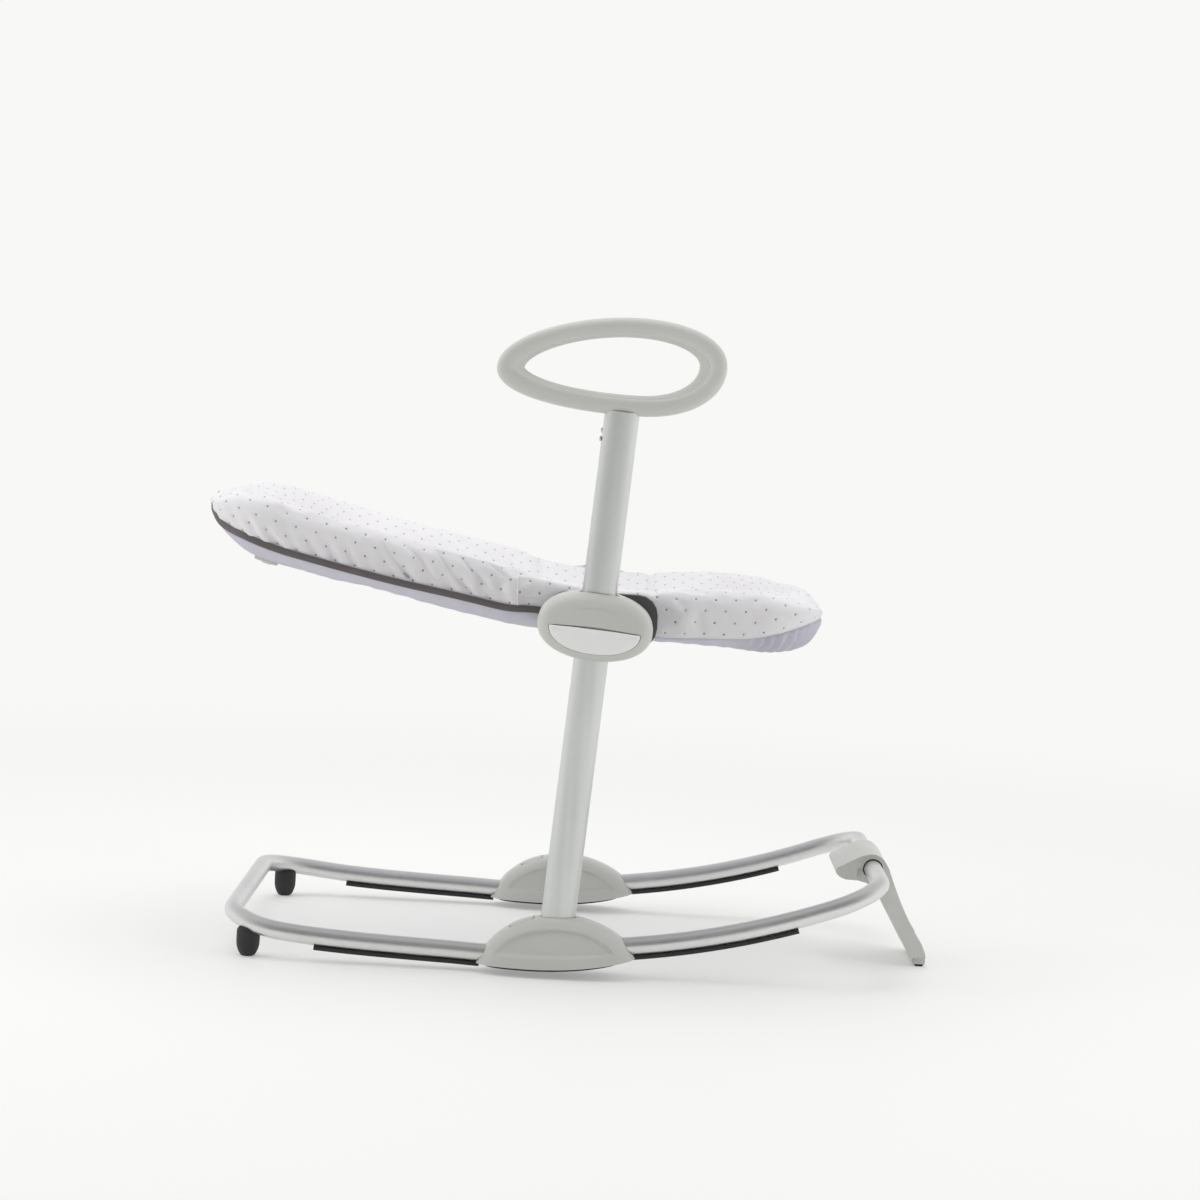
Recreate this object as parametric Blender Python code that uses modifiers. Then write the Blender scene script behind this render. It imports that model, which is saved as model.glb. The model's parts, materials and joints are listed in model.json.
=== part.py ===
"""Baby bouncer seat on a tube base.

Two bent base tubes end in two side shoes. A leaning post rises from each shoe to a ring
handle. A carriage slides on each post, and the padded seat hangs between the carriages
and reclines about their hubs. A stand folds out round the rear cross tube.

Metres, +Z up, +X towards the foot end, origin on the floor under the middle of the object.
The child's right side is at -Y.
"""

import math

import bmesh
import bpy
from mathutils import Matrix, Vector

# ---------------------------------------------------------------- driving dimensions
GAP = 0.0003                    # gap between touching pieces
CENTRE_SHIFT = -0.00704         # brings the middle of the whole object over the origin
SIDES = (("right", -1), ("left", 1))

TRACK = 0.220                   # from the middle plane to each post
TUBE_RADIUS = 0.011             # base tubes
FRONT_BEND_START = -0.3225
FRONT_BEND_RADIUS = 0.070
FRONT_TUBE_END = -0.031         # end of the front tube inside the shoe
REAR_LOW_X = -0.0665            # vertex of the rear tube's rise
REAR_LOW_Z = 0.0301
REAR_RISE = (0.340, 0.2105)     # square and cube terms of the rear tube's rise
REAR_BEND_START = 0.3305
REAR_BEND_RADIUS = 0.060
REAR_TUBE_END = 0.033
STRIP_THICKNESS = 0.0048
STRIP_HALF_WIDTH = 0.007
FRONT_STRIP = (-0.2845, -0.094)
REAR_STRIP = (0.0985, 0.2820)
FOOT_TURN = math.radians(40)    # how far round the front bend each foot sits

POST_FLOOR_X = -0.002           # where the post's axis would meet the floor
POST_LEAN = math.radians(4.15)
POST_HALF = (0.0207, 0.0150)    # half axes of the oval tube
POST_WALL = 0.0018
POST_SPAN = (0.028, 0.6715)     # along the post, from the floor
LATCH_PITCH = 0.085             # between seat heights
LATCH_RISE = 0.013              # latch pin above the hub
LATCH_STEPS = (-1, 0, 1, 2)     # seat heights, counted from the modelled one
HANDLE_SCREW_AT = 0.6425        # along the post

SHOE_X = 0.0025                 # middle of the shoe
SHOE_FLOOR = 0.0108             # height of the hem at the head end
HEM_RISE_START = -0.030         # the hem curves up from here towards the foot end
HEM_RISE = 0.91
SHOE_HALF = (0.0905, 0.0315, 0.0615)
SHOE_WALL = 0.0025
SHOE_APEX_SHIFT = 0.003         # the top of the dome lies this far behind its middle
SHOE_PLAN_POWER = 2.6           # squareness of the dome seen from above
SHOE_SIDE_POWER = 5.0           # squareness of the dome seen along X
SOLE_SPAN = (-0.082, 0.078)
SOLE_HALF_WIDTH = 0.0280
SOLE_THICKNESS = 0.0026
RELEASE_FRONT = (-0.0540, 0.0576)
RELEASE_BACK = (-0.0255, 0.0686)
RELEASE_HALF_WIDTH = 0.0115
RELEASE_THICKNESS = 0.007
RELEASE_PROUD = 0.0010

HUB_X = 0.0285
HUB_Z = 0.4206
CARRIAGE_HALF = (0.0685, 0.0405)
CARRIAGE_INNER = 0.1920         # inner face of the carriage
CARRIAGE_OUTER = 0.2530
BORE_HALF = (0.0239, 0.0182)
BUTTON_HALF = (0.0540, 0.0285)
BUTTON_FACES = (0.2455, 0.2545)
BUTTON_POCKET = 0.2405
LATCH_SIZE = (0.0215, 0.009, 0.013)
LATCH_SPRING_END = -0.0585

HANDLE_BAR = 0.0105             # half width of the ring's bar in its plane
HANDLE_DEPTH = 0.0130           # half depth of the bar
HANDLE_WALL = 0.0025

HUB_BRACKET_OFFSET = (0.0075, 0.0049)   # of its middle from the hub
HUB_BRACKET_HALF = (0.0665, 0.0315)
HUB_BRACKET_CORNER = 0.024
HUB_BRACKET_FACES = (0.1738, 0.1902)
PIVOT_RADIUS = 0.006
LOCK_RADIUS = 0.003

SEAT_HALF_WIDTH = 0.172
SEAT_HEAD_X = -0.449
SEAT_FOOT_X = 0.304
HEAD_CORNER = 0.110
FOOT_CORNER = 0.075
FRAME_INSET = 0.011
FRAME_RADIUS = 0.008
PAD_THICKNESS = 0.024
PAD_STATIONS = 18
SLING_THICKNESS = 0.003
RECLINE_X = -0.388              # middle of the recline lever's housing

STAND_HALF_WIDTH = 0.058
STAND_BORE = 0.0125
STAND_TIP = (0.0665, -0.1212)   # from the rear cross tube's axis


# ---------------------------------------------------------------- profiles of the object
def along(line, x):
    """Height of a smooth line through the given points (Catmull-Rom)."""
    last = len(line) - 1
    i = 0
    while i < last - 1 and line[i + 1][0] < x:
        i += 1
    (x0, z0), (x1, z1) = line[i], line[i + 1]
    t = min(1.0, max(0.0, (x - x0) / (x1 - x0)))
    before = line[i - 1] if i else (2 * x0 - x1, 2 * z0 - z1)
    after = line[i + 2] if i + 2 <= last else (2 * x1 - x0, 2 * z1 - z0)
    m0 = (z1 - before[1]) / (x1 - before[0]) * (x1 - x0)
    m1 = (after[1] - z0) / (after[0] - x0) * (x1 - x0)
    rise = (2 * t ** 3 - 3 * t ** 2 + 1) * z0 + (3 * t ** 2 - 2 * t ** 3) * z1
    return rise + (t ** 3 - 2 * t ** 2 + t) * m0 + (t ** 3 - t ** 2) * m1


FRONT_TUBE_LINE = [(-0.400, 0.0500), (-0.360, 0.0400), (-0.310, 0.0330), (-0.250, 0.0286),
                   (-0.180, 0.0256), (-0.120, 0.0236), (-0.0855, 0.0222), (-0.031, 0.0222)]


def front_z(x):
    """Axis height of the front base tube."""
    return along(FRONT_TUBE_LINE, x)


def rear_z(x):
    """Axis height of the rear base tube."""
    reach = x - REAR_LOW_X
    return REAR_LOW_Z + REAR_RISE[0] * reach ** 2 + REAR_RISE[1] * reach ** 3


def hem_z(x):
    """Height of the shoe's hem."""
    return SHOE_FLOOR + HEM_RISE * max(0.0, x - HEM_RISE_START) ** 2


REAR_CROSS_X = REAR_BEND_START + REAR_BEND_RADIUS
REAR_CROSS_Z = rear_z(REAR_CROSS_X)
POST_AXIS = Vector((math.sin(POST_LEAN), 0, math.cos(POST_LEAN)))
ACROSS_POST = Vector((math.cos(POST_LEAN), 0, -math.sin(POST_LEAN)))
HUB_ALONG = HUB_Z / math.cos(POST_LEAN)

# side view of the seat: (x, height)
RIDGE = [(-0.449, 0.538), (-0.432, 0.5465), (-0.405, 0.5495), (-0.375, 0.5465),
         (-0.345, 0.537), (-0.272, 0.519), (-0.212, 0.506), (-0.139, 0.490), (-0.090, 0.480),
         (-0.030, 0.468), (0.035, 0.460), (0.080, 0.460), (0.151, 0.463), (0.224, 0.462),
         (0.258, 0.457), (0.284, 0.450), (0.304, 0.440)]
FRAME_LINE = [(-0.449, 0.529), (-0.420, 0.518), (-0.360, 0.498), (-0.260, 0.4735),
              (-0.150, 0.4535), (-0.050, 0.442), (0.050, 0.435), (0.150, 0.430),
              (0.240, 0.429), (0.304, 0.428)]
UNDERSIDE = [(-0.449, 0.512), (-0.427, 0.490), (-0.400, 0.4760), (-0.360, 0.4660),
             (-0.296, 0.4510), (-0.225, 0.4375), (-0.170, 0.4255), (-0.118, 0.4145),
             (-0.058, 0.4045), (0.000, 0.3990), (0.060, 0.3970), (0.130, 0.3960),
             (0.200, 0.3930), (0.255, 0.3915), (0.288, 0.3960), (0.304, 0.4150)]


def plan_half_width(x, inset=0.0):
    """Half width of the seat's rounded plan outline at x."""
    width = SEAT_HALF_WIDTH - inset
    for end, corner in ((SEAT_HEAD_X + inset, HEAD_CORNER), (SEAT_FOOT_X - inset, FOOT_CORNER)):
        radius = corner - inset
        reach = radius - abs(x - end)
        if reach > 0:
            width -= radius - math.sqrt(max(0.0, radius ** 2 - reach ** 2))
    return width


def post_point(distance, side, across=0.0):
    """A point on a post's axis, at a distance from the floor along the post."""
    point = Vector((POST_FLOOR_X, side * TRACK, 0)) + POST_AXIS * distance
    return point + ACROSS_POST * across


# ---------------------------------------------------------------- modelling helpers
COLLECTIONS = {}
MATERIALS = {
    # name: colour, roughness, metallic
    "tube_metal": ((0.72, 0.73, 0.74), 0.32, 1.0),
    "post_metal": ((0.62, 0.63, 0.65), 0.38, 1.0),
    "light_plastic": ((0.50, 0.53, 0.49), 0.42, 0.0),
    "button_plastic": ((0.66, 0.68, 0.68), 0.38, 0.0),
    "dark_plastic": ((0.045, 0.046, 0.05), 0.5, 0.0),
    "rubber": ((0.025, 0.025, 0.027), 0.75, 0.0),
    "steel": ((0.55, 0.55, 0.56), 0.3, 1.0),
    "pad_fabric": ((0.80, 0.79, 0.83), 0.9, 0.0),
    "sling_fabric": ((0.42, 0.40, 0.47), 0.9, 0.0),
    "webbing": ((0.30, 0.30, 0.32), 0.85, 0.0),
}


def clear_scene():
    for obj in list(bpy.data.objects):
        bpy.data.objects.remove(obj, do_unlink=True)
    for name in ("bouncer_seat", "cutters"):
        collection = bpy.data.collections.new(name)
        bpy.context.scene.collection.children.link(collection)
        COLLECTIONS[name] = collection


def material(name):
    found = bpy.data.materials.get(name)
    if found:
        return found
    colour, roughness, metallic = MATERIALS[name]
    made = bpy.data.materials.new(name)
    made.use_nodes = True
    shader = made.node_tree.nodes["Principled BSDF"]
    shader.inputs["Base Color"].default_value = (*colour, 1)
    shader.inputs["Roughness"].default_value = roughness
    shader.inputs["Metallic"].default_value = metallic
    return made


def add(name, mesh, look, matrix=None):
    """Put a mesh into the object's collection, or among the cutters when it has no look."""
    obj = bpy.data.objects.new(name, mesh)
    COLLECTIONS["bouncer_seat" if look else "cutters"].objects.link(obj)
    if matrix is not None:
        obj.matrix_world = matrix
    if look:
        mesh.materials.clear()
        mesh.materials.append(material(look))
        mesh.shade_smooth()
        mesh.set_sharp_from_angle(angle=math.radians(35))
    else:
        obj.hide_render = True
        obj.display_type = "WIRE"
    return obj


def mesh_from(bm, name):
    bmesh.ops.recalc_face_normals(bm, faces=bm.faces)
    mesh = bpy.data.meshes.new(name)
    bm.to_mesh(mesh)
    bm.free()
    return mesh


def placed(centre, x_axis=(1, 0, 0), z_axis=(0, 0, 1)):
    """A matrix whose local X and Z point along the given directions."""
    z_dir = Vector(z_axis).normalized()
    x_dir = Vector(x_axis)
    x_dir = (x_dir - z_dir * x_dir.dot(z_dir)).normalized()
    y_dir = z_dir.cross(x_dir)
    turn = Matrix((x_dir, y_dir, z_dir)).transposed().to_4x4()
    return Matrix.Translation(centre) @ turn


def box(name, size, look, matrix, bevel=0.0):
    bm = bmesh.new()
    bmesh.ops.create_cube(bm, size=1.0)
    bmesh.ops.scale(bm, vec=size, verts=bm.verts)
    obj = add(name, mesh_from(bm, name), look, matrix)
    if bevel:
        round_edges(obj, bevel)
    return obj


def cylinder(name, radius, length, look, matrix, segments=24, squeeze=1.0):
    """A cylinder along local Z; squeeze makes it oval across local Y."""
    bm = bmesh.new()
    bmesh.ops.create_cone(bm, cap_ends=True, segments=segments,
                          radius1=radius, radius2=radius, depth=length)
    bmesh.ops.scale(bm, vec=(1, squeeze, 1), verts=bm.verts)
    return add(name, mesh_from(bm, name), look, matrix)


def round_edges(obj, width, segments=2, angle=40):
    mod = obj.modifiers.new("rounded", "BEVEL")
    mod.width = width
    mod.segments = segments
    mod.limit_method = "ANGLE"
    mod.angle_limit = math.radians(angle)


def cut(obj, *cutters):
    for cutter in cutters:
        mod = obj.modifiers.new("cut", "BOOLEAN")
        mod.operation = "DIFFERENCE"
        mod.object = cutter


def unite(obj, other):
    mod = obj.modifiers.new("joined", "BOOLEAN")
    mod.operation = "UNION"
    mod.object = other


def curve_to_mesh(data, name):
    """The welded mesh of a curve."""
    holder = bpy.data.objects.new(name + "_curve", data)
    bpy.context.scene.collection.objects.link(holder)
    graph = bpy.context.evaluated_depsgraph_get()
    mesh = bpy.data.meshes.new_from_object(holder.evaluated_get(graph))
    bpy.data.objects.remove(holder)
    bm = bmesh.new()
    bm.from_mesh(mesh)
    bpy.data.meshes.remove(mesh)
    bmesh.ops.remove_doubles(bm, verts=bm.verts, dist=0.00001)
    return mesh_from(bm, name)


def tube(name, points, radius, look, resolution=4, closed=False):
    """A round bar along points."""
    data = bpy.data.curves.new(name, "CURVE")
    data.dimensions = "3D"
    data.bevel_depth = radius
    data.bevel_resolution = resolution
    data.use_fill_caps = not closed
    spline = data.splines.new("POLY")
    spline.points.add(len(points) - 1)
    for spot, point in zip(spline.points, points):
        spot.co = (*point, 1)
    spline.use_cyclic_u = closed
    return add(name, curve_to_mesh(data, name), look)


def prism(name, outline, y_faces, look, smooth=False, bevel=0.0, turn=0.0, centre=(0, 0)):
    """A flat outline in the XZ plane, thickened between two Y faces.

    The outline is about centre, turned clockwise seen from -Y. A smooth outline is a
    closed curve through its points.
    """
    data = bpy.data.curves.new(name, "CURVE")
    data.dimensions = "2D"
    data.fill_mode = "BOTH"
    data.extrude = abs(y_faces[1] - y_faces[0]) / 2
    data.resolution_u = 3
    if smooth:
        spline = data.splines.new("BEZIER")
        spline.bezier_points.add(len(outline) - 1)
        for spot, (x, z) in zip(spline.bezier_points, outline):
            spot.co = (x, z, 0)
            spot.handle_left_type = spot.handle_right_type = "AUTO"
    else:
        spline = data.splines.new("POLY")
        spline.points.add(len(outline) - 1)
        for spot, (x, z) in zip(spline.points, outline):
            spot.co = (x, z, 0, 1)
    spline.use_cyclic_u = True
    middle = (centre[0], sum(y_faces) / 2, centre[1])
    stand_up = Matrix.Rotation(math.pi / 2, 4, "X")
    place = Matrix.Translation(middle) @ Matrix.Rotation(turn, 4, "Y") @ stand_up
    obj = add(name, curve_to_mesh(data, name), look, place)
    if bevel:
        round_edges(obj, bevel)
    return obj


def oval(half, count=32, power=2.2, start=0.0, stop=2 * math.pi):
    """Points of a superellipse, from one angle to another."""
    closed = stop - start > 2 * math.pi - 0.001
    points = []
    for i in range(count if closed else count + 1):
        angle = start + (stop - start) * i / count
        c, s = math.cos(angle), math.sin(angle)
        points.append((math.copysign(half[0] * abs(c) ** (2 / power), c),
                       math.copysign(half[1] * abs(s) ** (2 / power), s)))
    return points


def rounded_rectangle(half, radius, steps=4):
    points = []
    for corner in range(4):
        sx = 1 if corner in (0, 3) else -1
        sz = 1 if corner < 2 else -1
        for i in range(steps + 1):
            angle = math.pi / 2 * (corner + i / steps)
            points.append((sx * (half[0] - radius) + radius * math.cos(angle),
                           sz * (half[1] - radius) + radius * math.sin(angle)))
    return points


def turned_mesh(profile, name, steps=20):
    """Turn a profile (radius, height), top to bottom, about Z."""
    mesh = bpy.data.meshes.new(name)
    mesh.from_pydata([(r, 0, z) for r, z in profile],
                     [(i, i + 1) for i in range(len(profile) - 1)], [])
    holder = bpy.data.objects.new(name + "_profile", mesh)
    bpy.context.scene.collection.objects.link(holder)
    mod = holder.modifiers.new("turned", "SCREW")
    mod.axis = "Z"
    mod.steps = mod.render_steps = steps
    mod.use_merge_vertices = True
    mod.merge_threshold = 0.00001
    graph = bpy.context.evaluated_depsgraph_get()
    result = bpy.data.meshes.new_from_object(holder.evaluated_get(graph))
    bpy.data.objects.remove(holder)
    bpy.data.meshes.remove(mesh)
    bm = bmesh.new()
    bm.from_mesh(result)
    bpy.data.meshes.remove(result)
    bmesh.ops.remove_doubles(bm, verts=bm.verts, dist=0.00001)
    return mesh_from(bm, name)


def screw(name, seat, way, length, head=(0.0034, 0.0020), shank=0.0015):
    """A pan-head screw: the seat of its head, and the way that its shank points."""
    top = head[1]
    profile = [(0, top), (head[0] * 0.7, top), (head[0], top * 0.4), (head[0], 0),
               (shank, 0), (shank, -length), (0, -length)]
    return add(name, turned_mesh(profile, name, steps=12), "steel",
               placed(seat, (0, 1, 0), -Vector(way)))


def coil(name, start, way, length, radius, wire, turns, look="steel"):
    """A compression spring."""
    base = placed(start, (0.3, 0.5, 0.8), way)
    steps = 6
    points = []
    for i in range(int(turns * steps) + 1):
        angle = 2 * math.pi * i / steps
        rise = wire + (length - 2 * wire) * i / (turns * steps)
        points.append(base @ Vector((radius * math.cos(angle), radius * math.sin(angle), rise)))
    return tube(name, points, wire, look, resolution=0)


# ---------------------------------------------------------------- base
def bent_path(sign, inner_x, bend_start, radius, height, bend_steps=6):
    """A U seen from above: in from one shoe, round two bends, and back to the other."""
    half = []
    count = 8
    for i in range(count + 1):
        x = inner_x + (bend_start - inner_x) * i / count
        half.append((x, TRACK))
    for i in range(1, bend_steps + 1):
        turn = math.pi / 2 * i / bend_steps
        half.append((bend_start + sign * radius * math.sin(turn),
                     TRACK - radius * (1 - math.cos(turn))))
    points = [Vector((x, y, height(x))) for x, y in half]
    return points + [Vector((p.x, -p.y, p.z)) for p in reversed(points)]


def front_path():
    return bent_path(-1, FRONT_TUBE_END, FRONT_BEND_START, FRONT_BEND_RADIUS, front_z)


def rear_path():
    return bent_path(1, REAR_TUBE_END, REAR_BEND_START, REAR_BEND_RADIUS, rear_z)


def base_tubes():
    tube("front_base_tube", front_path(), TUBE_RADIUS, "tube_metal", resolution=3)
    tube("rear_base_tube", rear_path(), TUBE_RADIUS, "tube_metal", resolution=3)


def rocker_strip(name, side, span, height):
    """A rubber strip under a base tube."""
    count = 8
    top, bottom = [], []
    for i in range(count + 1):
        x = span[0] + (span[1] - span[0]) * i / count
        slope = (height(x + 0.001) - height(x - 0.001)) / 0.002
        normal = Vector((-slope, 1)).normalized()
        axis = Vector((x, height(x)))
        top.append(axis - normal * (TUBE_RADIUS + GAP))
        bottom.append(axis - normal * (TUBE_RADIUS + GAP + STRIP_THICKNESS))
    outline = [tuple(p) for p in top + bottom[::-1]]
    y = side * TRACK
    prism(name, outline, (y - STRIP_HALF_WIDTH, y + STRIP_HALF_WIDTH), "rubber")


def front_foot(label, side):
    """A rubber foot under the front bend."""
    x = FRONT_BEND_START - FRONT_BEND_RADIUS * math.sin(FOOT_TURN)
    y = side * (TRACK - FRONT_BEND_RADIUS * (1 - math.cos(FOOT_TURN)))
    top = front_z(x) - 0.0075
    profile = [(0, top), (0.0128, top), (0.0140, top - 0.003), (0.0140, 0.0180), (0.0128, 0.0100),
               (0.0105, 0.0040), (0.0085, 0.0012), (0.0065, 0), (0, 0)]
    mesh = turned_mesh(profile, "front_foot_" + label, steps=24)
    foot = add("front_foot_" + label, mesh, "rubber", placed((x, y, 0)))
    saddle = tube("foot_saddle_" + label, front_path(), TUBE_RADIUS + GAP, None, resolution=5)
    cut(foot, saddle)


def shoe_dome(name, look):
    """An open dome with a slightly flared skirt."""
    half = SHOE_HALF
    bm = bmesh.new()
    bmesh.ops.create_uvsphere(bm, u_segments=20, v_segments=10, radius=1.0)
    below = [v for v in bm.verts if v.co.z < -0.01]
    bmesh.ops.delete(bm, geom=below, context="VERTS")
    for v in bm.verts:
        flare = 1 + 0.05 * max(0.0, 1 - v.co.z / 0.3) ** 2
        spread = math.hypot(v.co.x, v.co.y)
        if spread > 0.0001:
            c, s = v.co.x / spread, v.co.y / spread
            v.co.x = half[0] * spread * flare * math.copysign(abs(c) ** (2 / SHOE_PLAN_POWER), c)
            wide = half[1] * spread ** (2 / SHOE_SIDE_POWER) * flare
            v.co.y = wide * math.copysign(abs(s) ** (2 / SHOE_PLAN_POWER), s)
        rise = hem_z(SHOE_X + v.co.x) - SHOE_FLOOR
        level = max(0.0, v.co.z)
        v.co.x += SHOE_APEX_SHIFT * level
        v.co.z = half[2] * level + rise * (1 - level)
    return add(name, mesh_from(bm, name), look)


def release_frame(side, depth=0.0):
    """The release button's place on the shoe's front slope, local Z pointing out."""
    front = Vector((RELEASE_FRONT[0], side * TRACK, RELEASE_FRONT[1]))
    back = Vector((RELEASE_BACK[0], side * TRACK, RELEASE_BACK[1]))
    slope = (back - front).normalized()
    out = Vector((-slope.z, 0, slope.x))
    return placed((front + back) / 2 - out * depth, slope, out)


def release_length():
    return (Vector(RELEASE_BACK) - Vector(RELEASE_FRONT)).length


def post_cutter(name, extra, span, side):
    """An oval bar along the post, larger than the post by extra."""
    middle = post_point(sum(span) / 2, side)
    matrix = placed(middle, ACROSS_POST, POST_AXIS)
    return cylinder(name, POST_HALF[0] + extra, span[1] - span[0], None, matrix, 28,
                    (POST_HALF[1] + extra) / (POST_HALF[0] + extra))


def shoe(label, side):
    y = side * TRACK
    cover = shoe_dome("shoe_cover_" + label, "light_plastic")
    cover.location = (SHOE_X, y, SHOE_FLOOR)
    shell = cover.modifiers.new("wall", "SOLIDIFY")
    shell.thickness = SHOE_WALL
    shell.offset = -1
    clearance = 0.0008
    front_way = tube("shoe_front_way_" + label, front_path(), TUBE_RADIUS + clearance, None)
    rear_way = tube("shoe_rear_way_" + label, rear_path(), TUBE_RADIUS + clearance, None)
    post_way = post_cutter("shoe_post_way_" + label, clearance, (0.03, 0.12), side)
    window_size = (release_length() + 0.001, 2 * RELEASE_HALF_WIDTH + 0.001, 0.03)
    window = box("shoe_window_" + label, window_size, None, release_frame(side))
    cut(cover, front_way, rear_way, post_way, window)

    outline = [(-0.066, 0.0125), (-0.066, 0.032), (-0.054, 0.0395), (-0.019, 0.0530),
               (0.032, 0.0540), (0.056, 0.041), (0.066, 0.032), (0.066, 0.0210),
               (0.030, 0.0155), (-0.010, 0.0125)]
    core = prism("shoe_core_" + label, outline, (y - 0.0165, y + 0.0165), "dark_plastic")
    front_seat = tube("core_front_seat_" + label, front_path(), TUBE_RADIUS + GAP, None, 5)
    rear_seat = tube("core_rear_seat_" + label, rear_path(), TUBE_RADIUS + GAP, None, 5)
    ring = post_cutter("core_post_seat_" + label, GAP, (POST_SPAN[0] - GAP, 0.12), side)
    spigot = post_cutter("core_spigot_" + label, -POST_WALL - GAP, (0.0, 0.15), side)
    cut(ring, spigot)
    cut(core, front_seat, rear_seat, ring)

    shoe_sole(label, y)


def shoe_sole(label, y):
    """A thin rubber sole that follows the shoe's hem."""
    count = 14
    middle = sum(SOLE_SPAN) / 2
    reach = (SOLE_SPAN[1] - SOLE_SPAN[0]) / 2
    sections = []
    for i in range(count + 1):
        offset = -math.cos(math.pi * i / count) * 0.995
        x = middle + reach * offset
        wide = SOLE_HALF_WIDTH * (1 - abs(offset) ** 2.6) ** (1 / 2.6)
        top = hem_z(x) - GAP
        sections.append((x, [(0.0, top), (wide, top), (wide, top - SOLE_THICKNESS),
                             (0.0, top - SOLE_THICKNESS)]))
    sole = loft("shoe_sole_" + label, sections, "rubber")
    sole.location = (0, y, 0)


def release_button(label, side):
    """The button that lets the post out of the shoe."""
    size = (release_length(), 2 * RELEASE_HALF_WIDTH, RELEASE_THICKNESS)
    place = release_frame(side, RELEASE_THICKNESS / 2 - RELEASE_PROUD)
    box("post_release_button_" + label, size, "light_plastic", place, bevel=0.0022)


# ---------------------------------------------------------------- posts and handles
def post(label, side):
    length = POST_SPAN[1] - POST_SPAN[0]
    bm = bmesh.new()
    bmesh.ops.create_cone(bm, cap_ends=False, segments=28,
                          radius1=POST_HALF[0], radius2=POST_HALF[0], depth=length)
    bmesh.ops.scale(bm, vec=(1, POST_HALF[1] / POST_HALF[0], 1), verts=bm.verts)
    matrix = placed(post_point(sum(POST_SPAN) / 2, side), ACROSS_POST, POST_AXIS)
    obj = add("post_" + label, mesh_from(bm, "post_" + label), "post_metal", matrix)
    wall = obj.modifiers.new("wall", "SOLIDIFY")
    wall.thickness = POST_WALL
    wall.offset = -1
    for step in LATCH_STEPS:
        at = HUB_ALONG + LATCH_RISE + step * LATCH_PITCH
        place = placed(post_point(at, side, -POST_HALF[0]), ACROSS_POST, POST_AXIS)
        hole = box("latch_hole_%s_%d" % (label, step + 1), (0.012, 0.0095, 0.0140), None, place)
        cut(obj, hole)
    seat = post_point(HANDLE_SCREW_AT, side, -POST_HALF[0])
    cut(obj, cylinder("handle_screw_hole_" + label, 0.0019, 0.012, None,
                      placed(seat, (0, 1, 0), ACROSS_POST), 8))


def handle_curve(name, profile, side):
    """The egg-shaped ring, narrow at the head end, swept with a profile curve."""
    data = bpy.data.curves.new(name, "CURVE")
    data.dimensions = "2D"
    data.resolution_u = 5
    data.bevel_mode = "OBJECT"
    data.bevel_object = profile
    # (x, z), then the lengths of the handles before and after it
    ring = [((-0.0930, 0.7195), (0, -0.020), (0, 0.027)),
            ((0.0585, 0.7755), (-0.075, 0), (0.055, 0)),
            ((0.1570, 0.7330), (0, 0.026), (0, -0.030)),
            ((0.0710, 0.6812), (0.050, 0), (-0.095, 0))]
    spline = data.splines.new("BEZIER")
    spline.bezier_points.add(len(ring) - 1)
    for spot, (at, before, after) in zip(spline.bezier_points, ring):
        spot.handle_left_type = spot.handle_right_type = "FREE"
        spot.co = (*at, 0)
        spot.handle_left = (at[0] + before[0], at[1] + before[1], 0)
        spot.handle_right = (at[0] + after[0], at[1] + after[1], 0)
    spline.use_cyclic_u = True
    matrix = Matrix.Translation((0, side * TRACK, 0)) @ Matrix.Rotation(math.pi / 2, 4, "X")
    return data, matrix


def half_section(name, outwards):
    """A C-shaped section: half of the bar's hollow oval; outwards is +1 or -1."""
    count = 5
    points = []
    for half, turns in (((HANDLE_BAR, HANDLE_DEPTH), range(count + 1)),
                        ((HANDLE_BAR - HANDLE_WALL, HANDLE_DEPTH - HANDLE_WALL),
                         range(count, -1, -1))):
        for i in turns:
            angle = math.pi * i / count
            c, s = math.cos(angle), math.sin(angle)
            points.append((math.copysign(half[0] * abs(c) ** 0.8, c),
                           outwards * (GAP / 2 + (half[1] - GAP / 2) * abs(s) ** 0.8)))
    data = bpy.data.curves.new(name, "CURVE")
    data.dimensions = "2D"
    spline = data.splines.new("POLY")
    spline.points.add(len(points) - 1)
    for spot, (across, depth) in zip(spline.points, points):
        spot.co = (across, depth, 0, 1)
    spline.use_cyclic_u = True
    obj = bpy.data.objects.new(name, data)
    COLLECTIONS["cutters"].objects.link(obj)
    return obj


def handle(label, side):
    plug_at = 0.6385
    place = placed(post_point(plug_at, side), ACROSS_POST, POST_AXIS)
    inside = (POST_HALF[0] - POST_WALL - GAP, POST_HALF[1] - POST_WALL - GAP)
    plug = cylinder("handle_plug_" + label, inside[0], 0.060, "dark_plastic", place, 28,
                    inside[1] / inside[0])
    tip_place = placed(post_point(0.6755, side), ACROSS_POST, POST_AXIS)
    tip = box("plug_tip_" + label, (0.026, 0.016, 0.022), None, tip_place)
    unite(plug, tip)
    pilot_seat = post_point(HANDLE_SCREW_AT, side, -POST_HALF[0])
    cut(plug, cylinder("plug_pilot_" + label, 0.0018, 0.040, None,
                       placed(pilot_seat, (0, 1, 0), ACROSS_POST), 12))
    socket = box("handle_socket_" + label, (0.0266, 0.0166, 0.0226), None, tip_place)
    for part, outwards in (("outer", side), ("inner", -side)):
        name = "handle_%s_%s" % (part, label)
        profile = half_section("section_" + name, -outwards)
        data, matrix = handle_curve(name, profile, side)
        shell = add(name, curve_to_mesh(data, name), "light_plastic", matrix)
        bpy.data.objects.remove(profile)
        cut(shell, socket)
    screw("handle_screw_" + label, post_point(HANDLE_SCREW_AT, side, -POST_HALF[0] - GAP),
          ACROSS_POST, 0.016)


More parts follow.
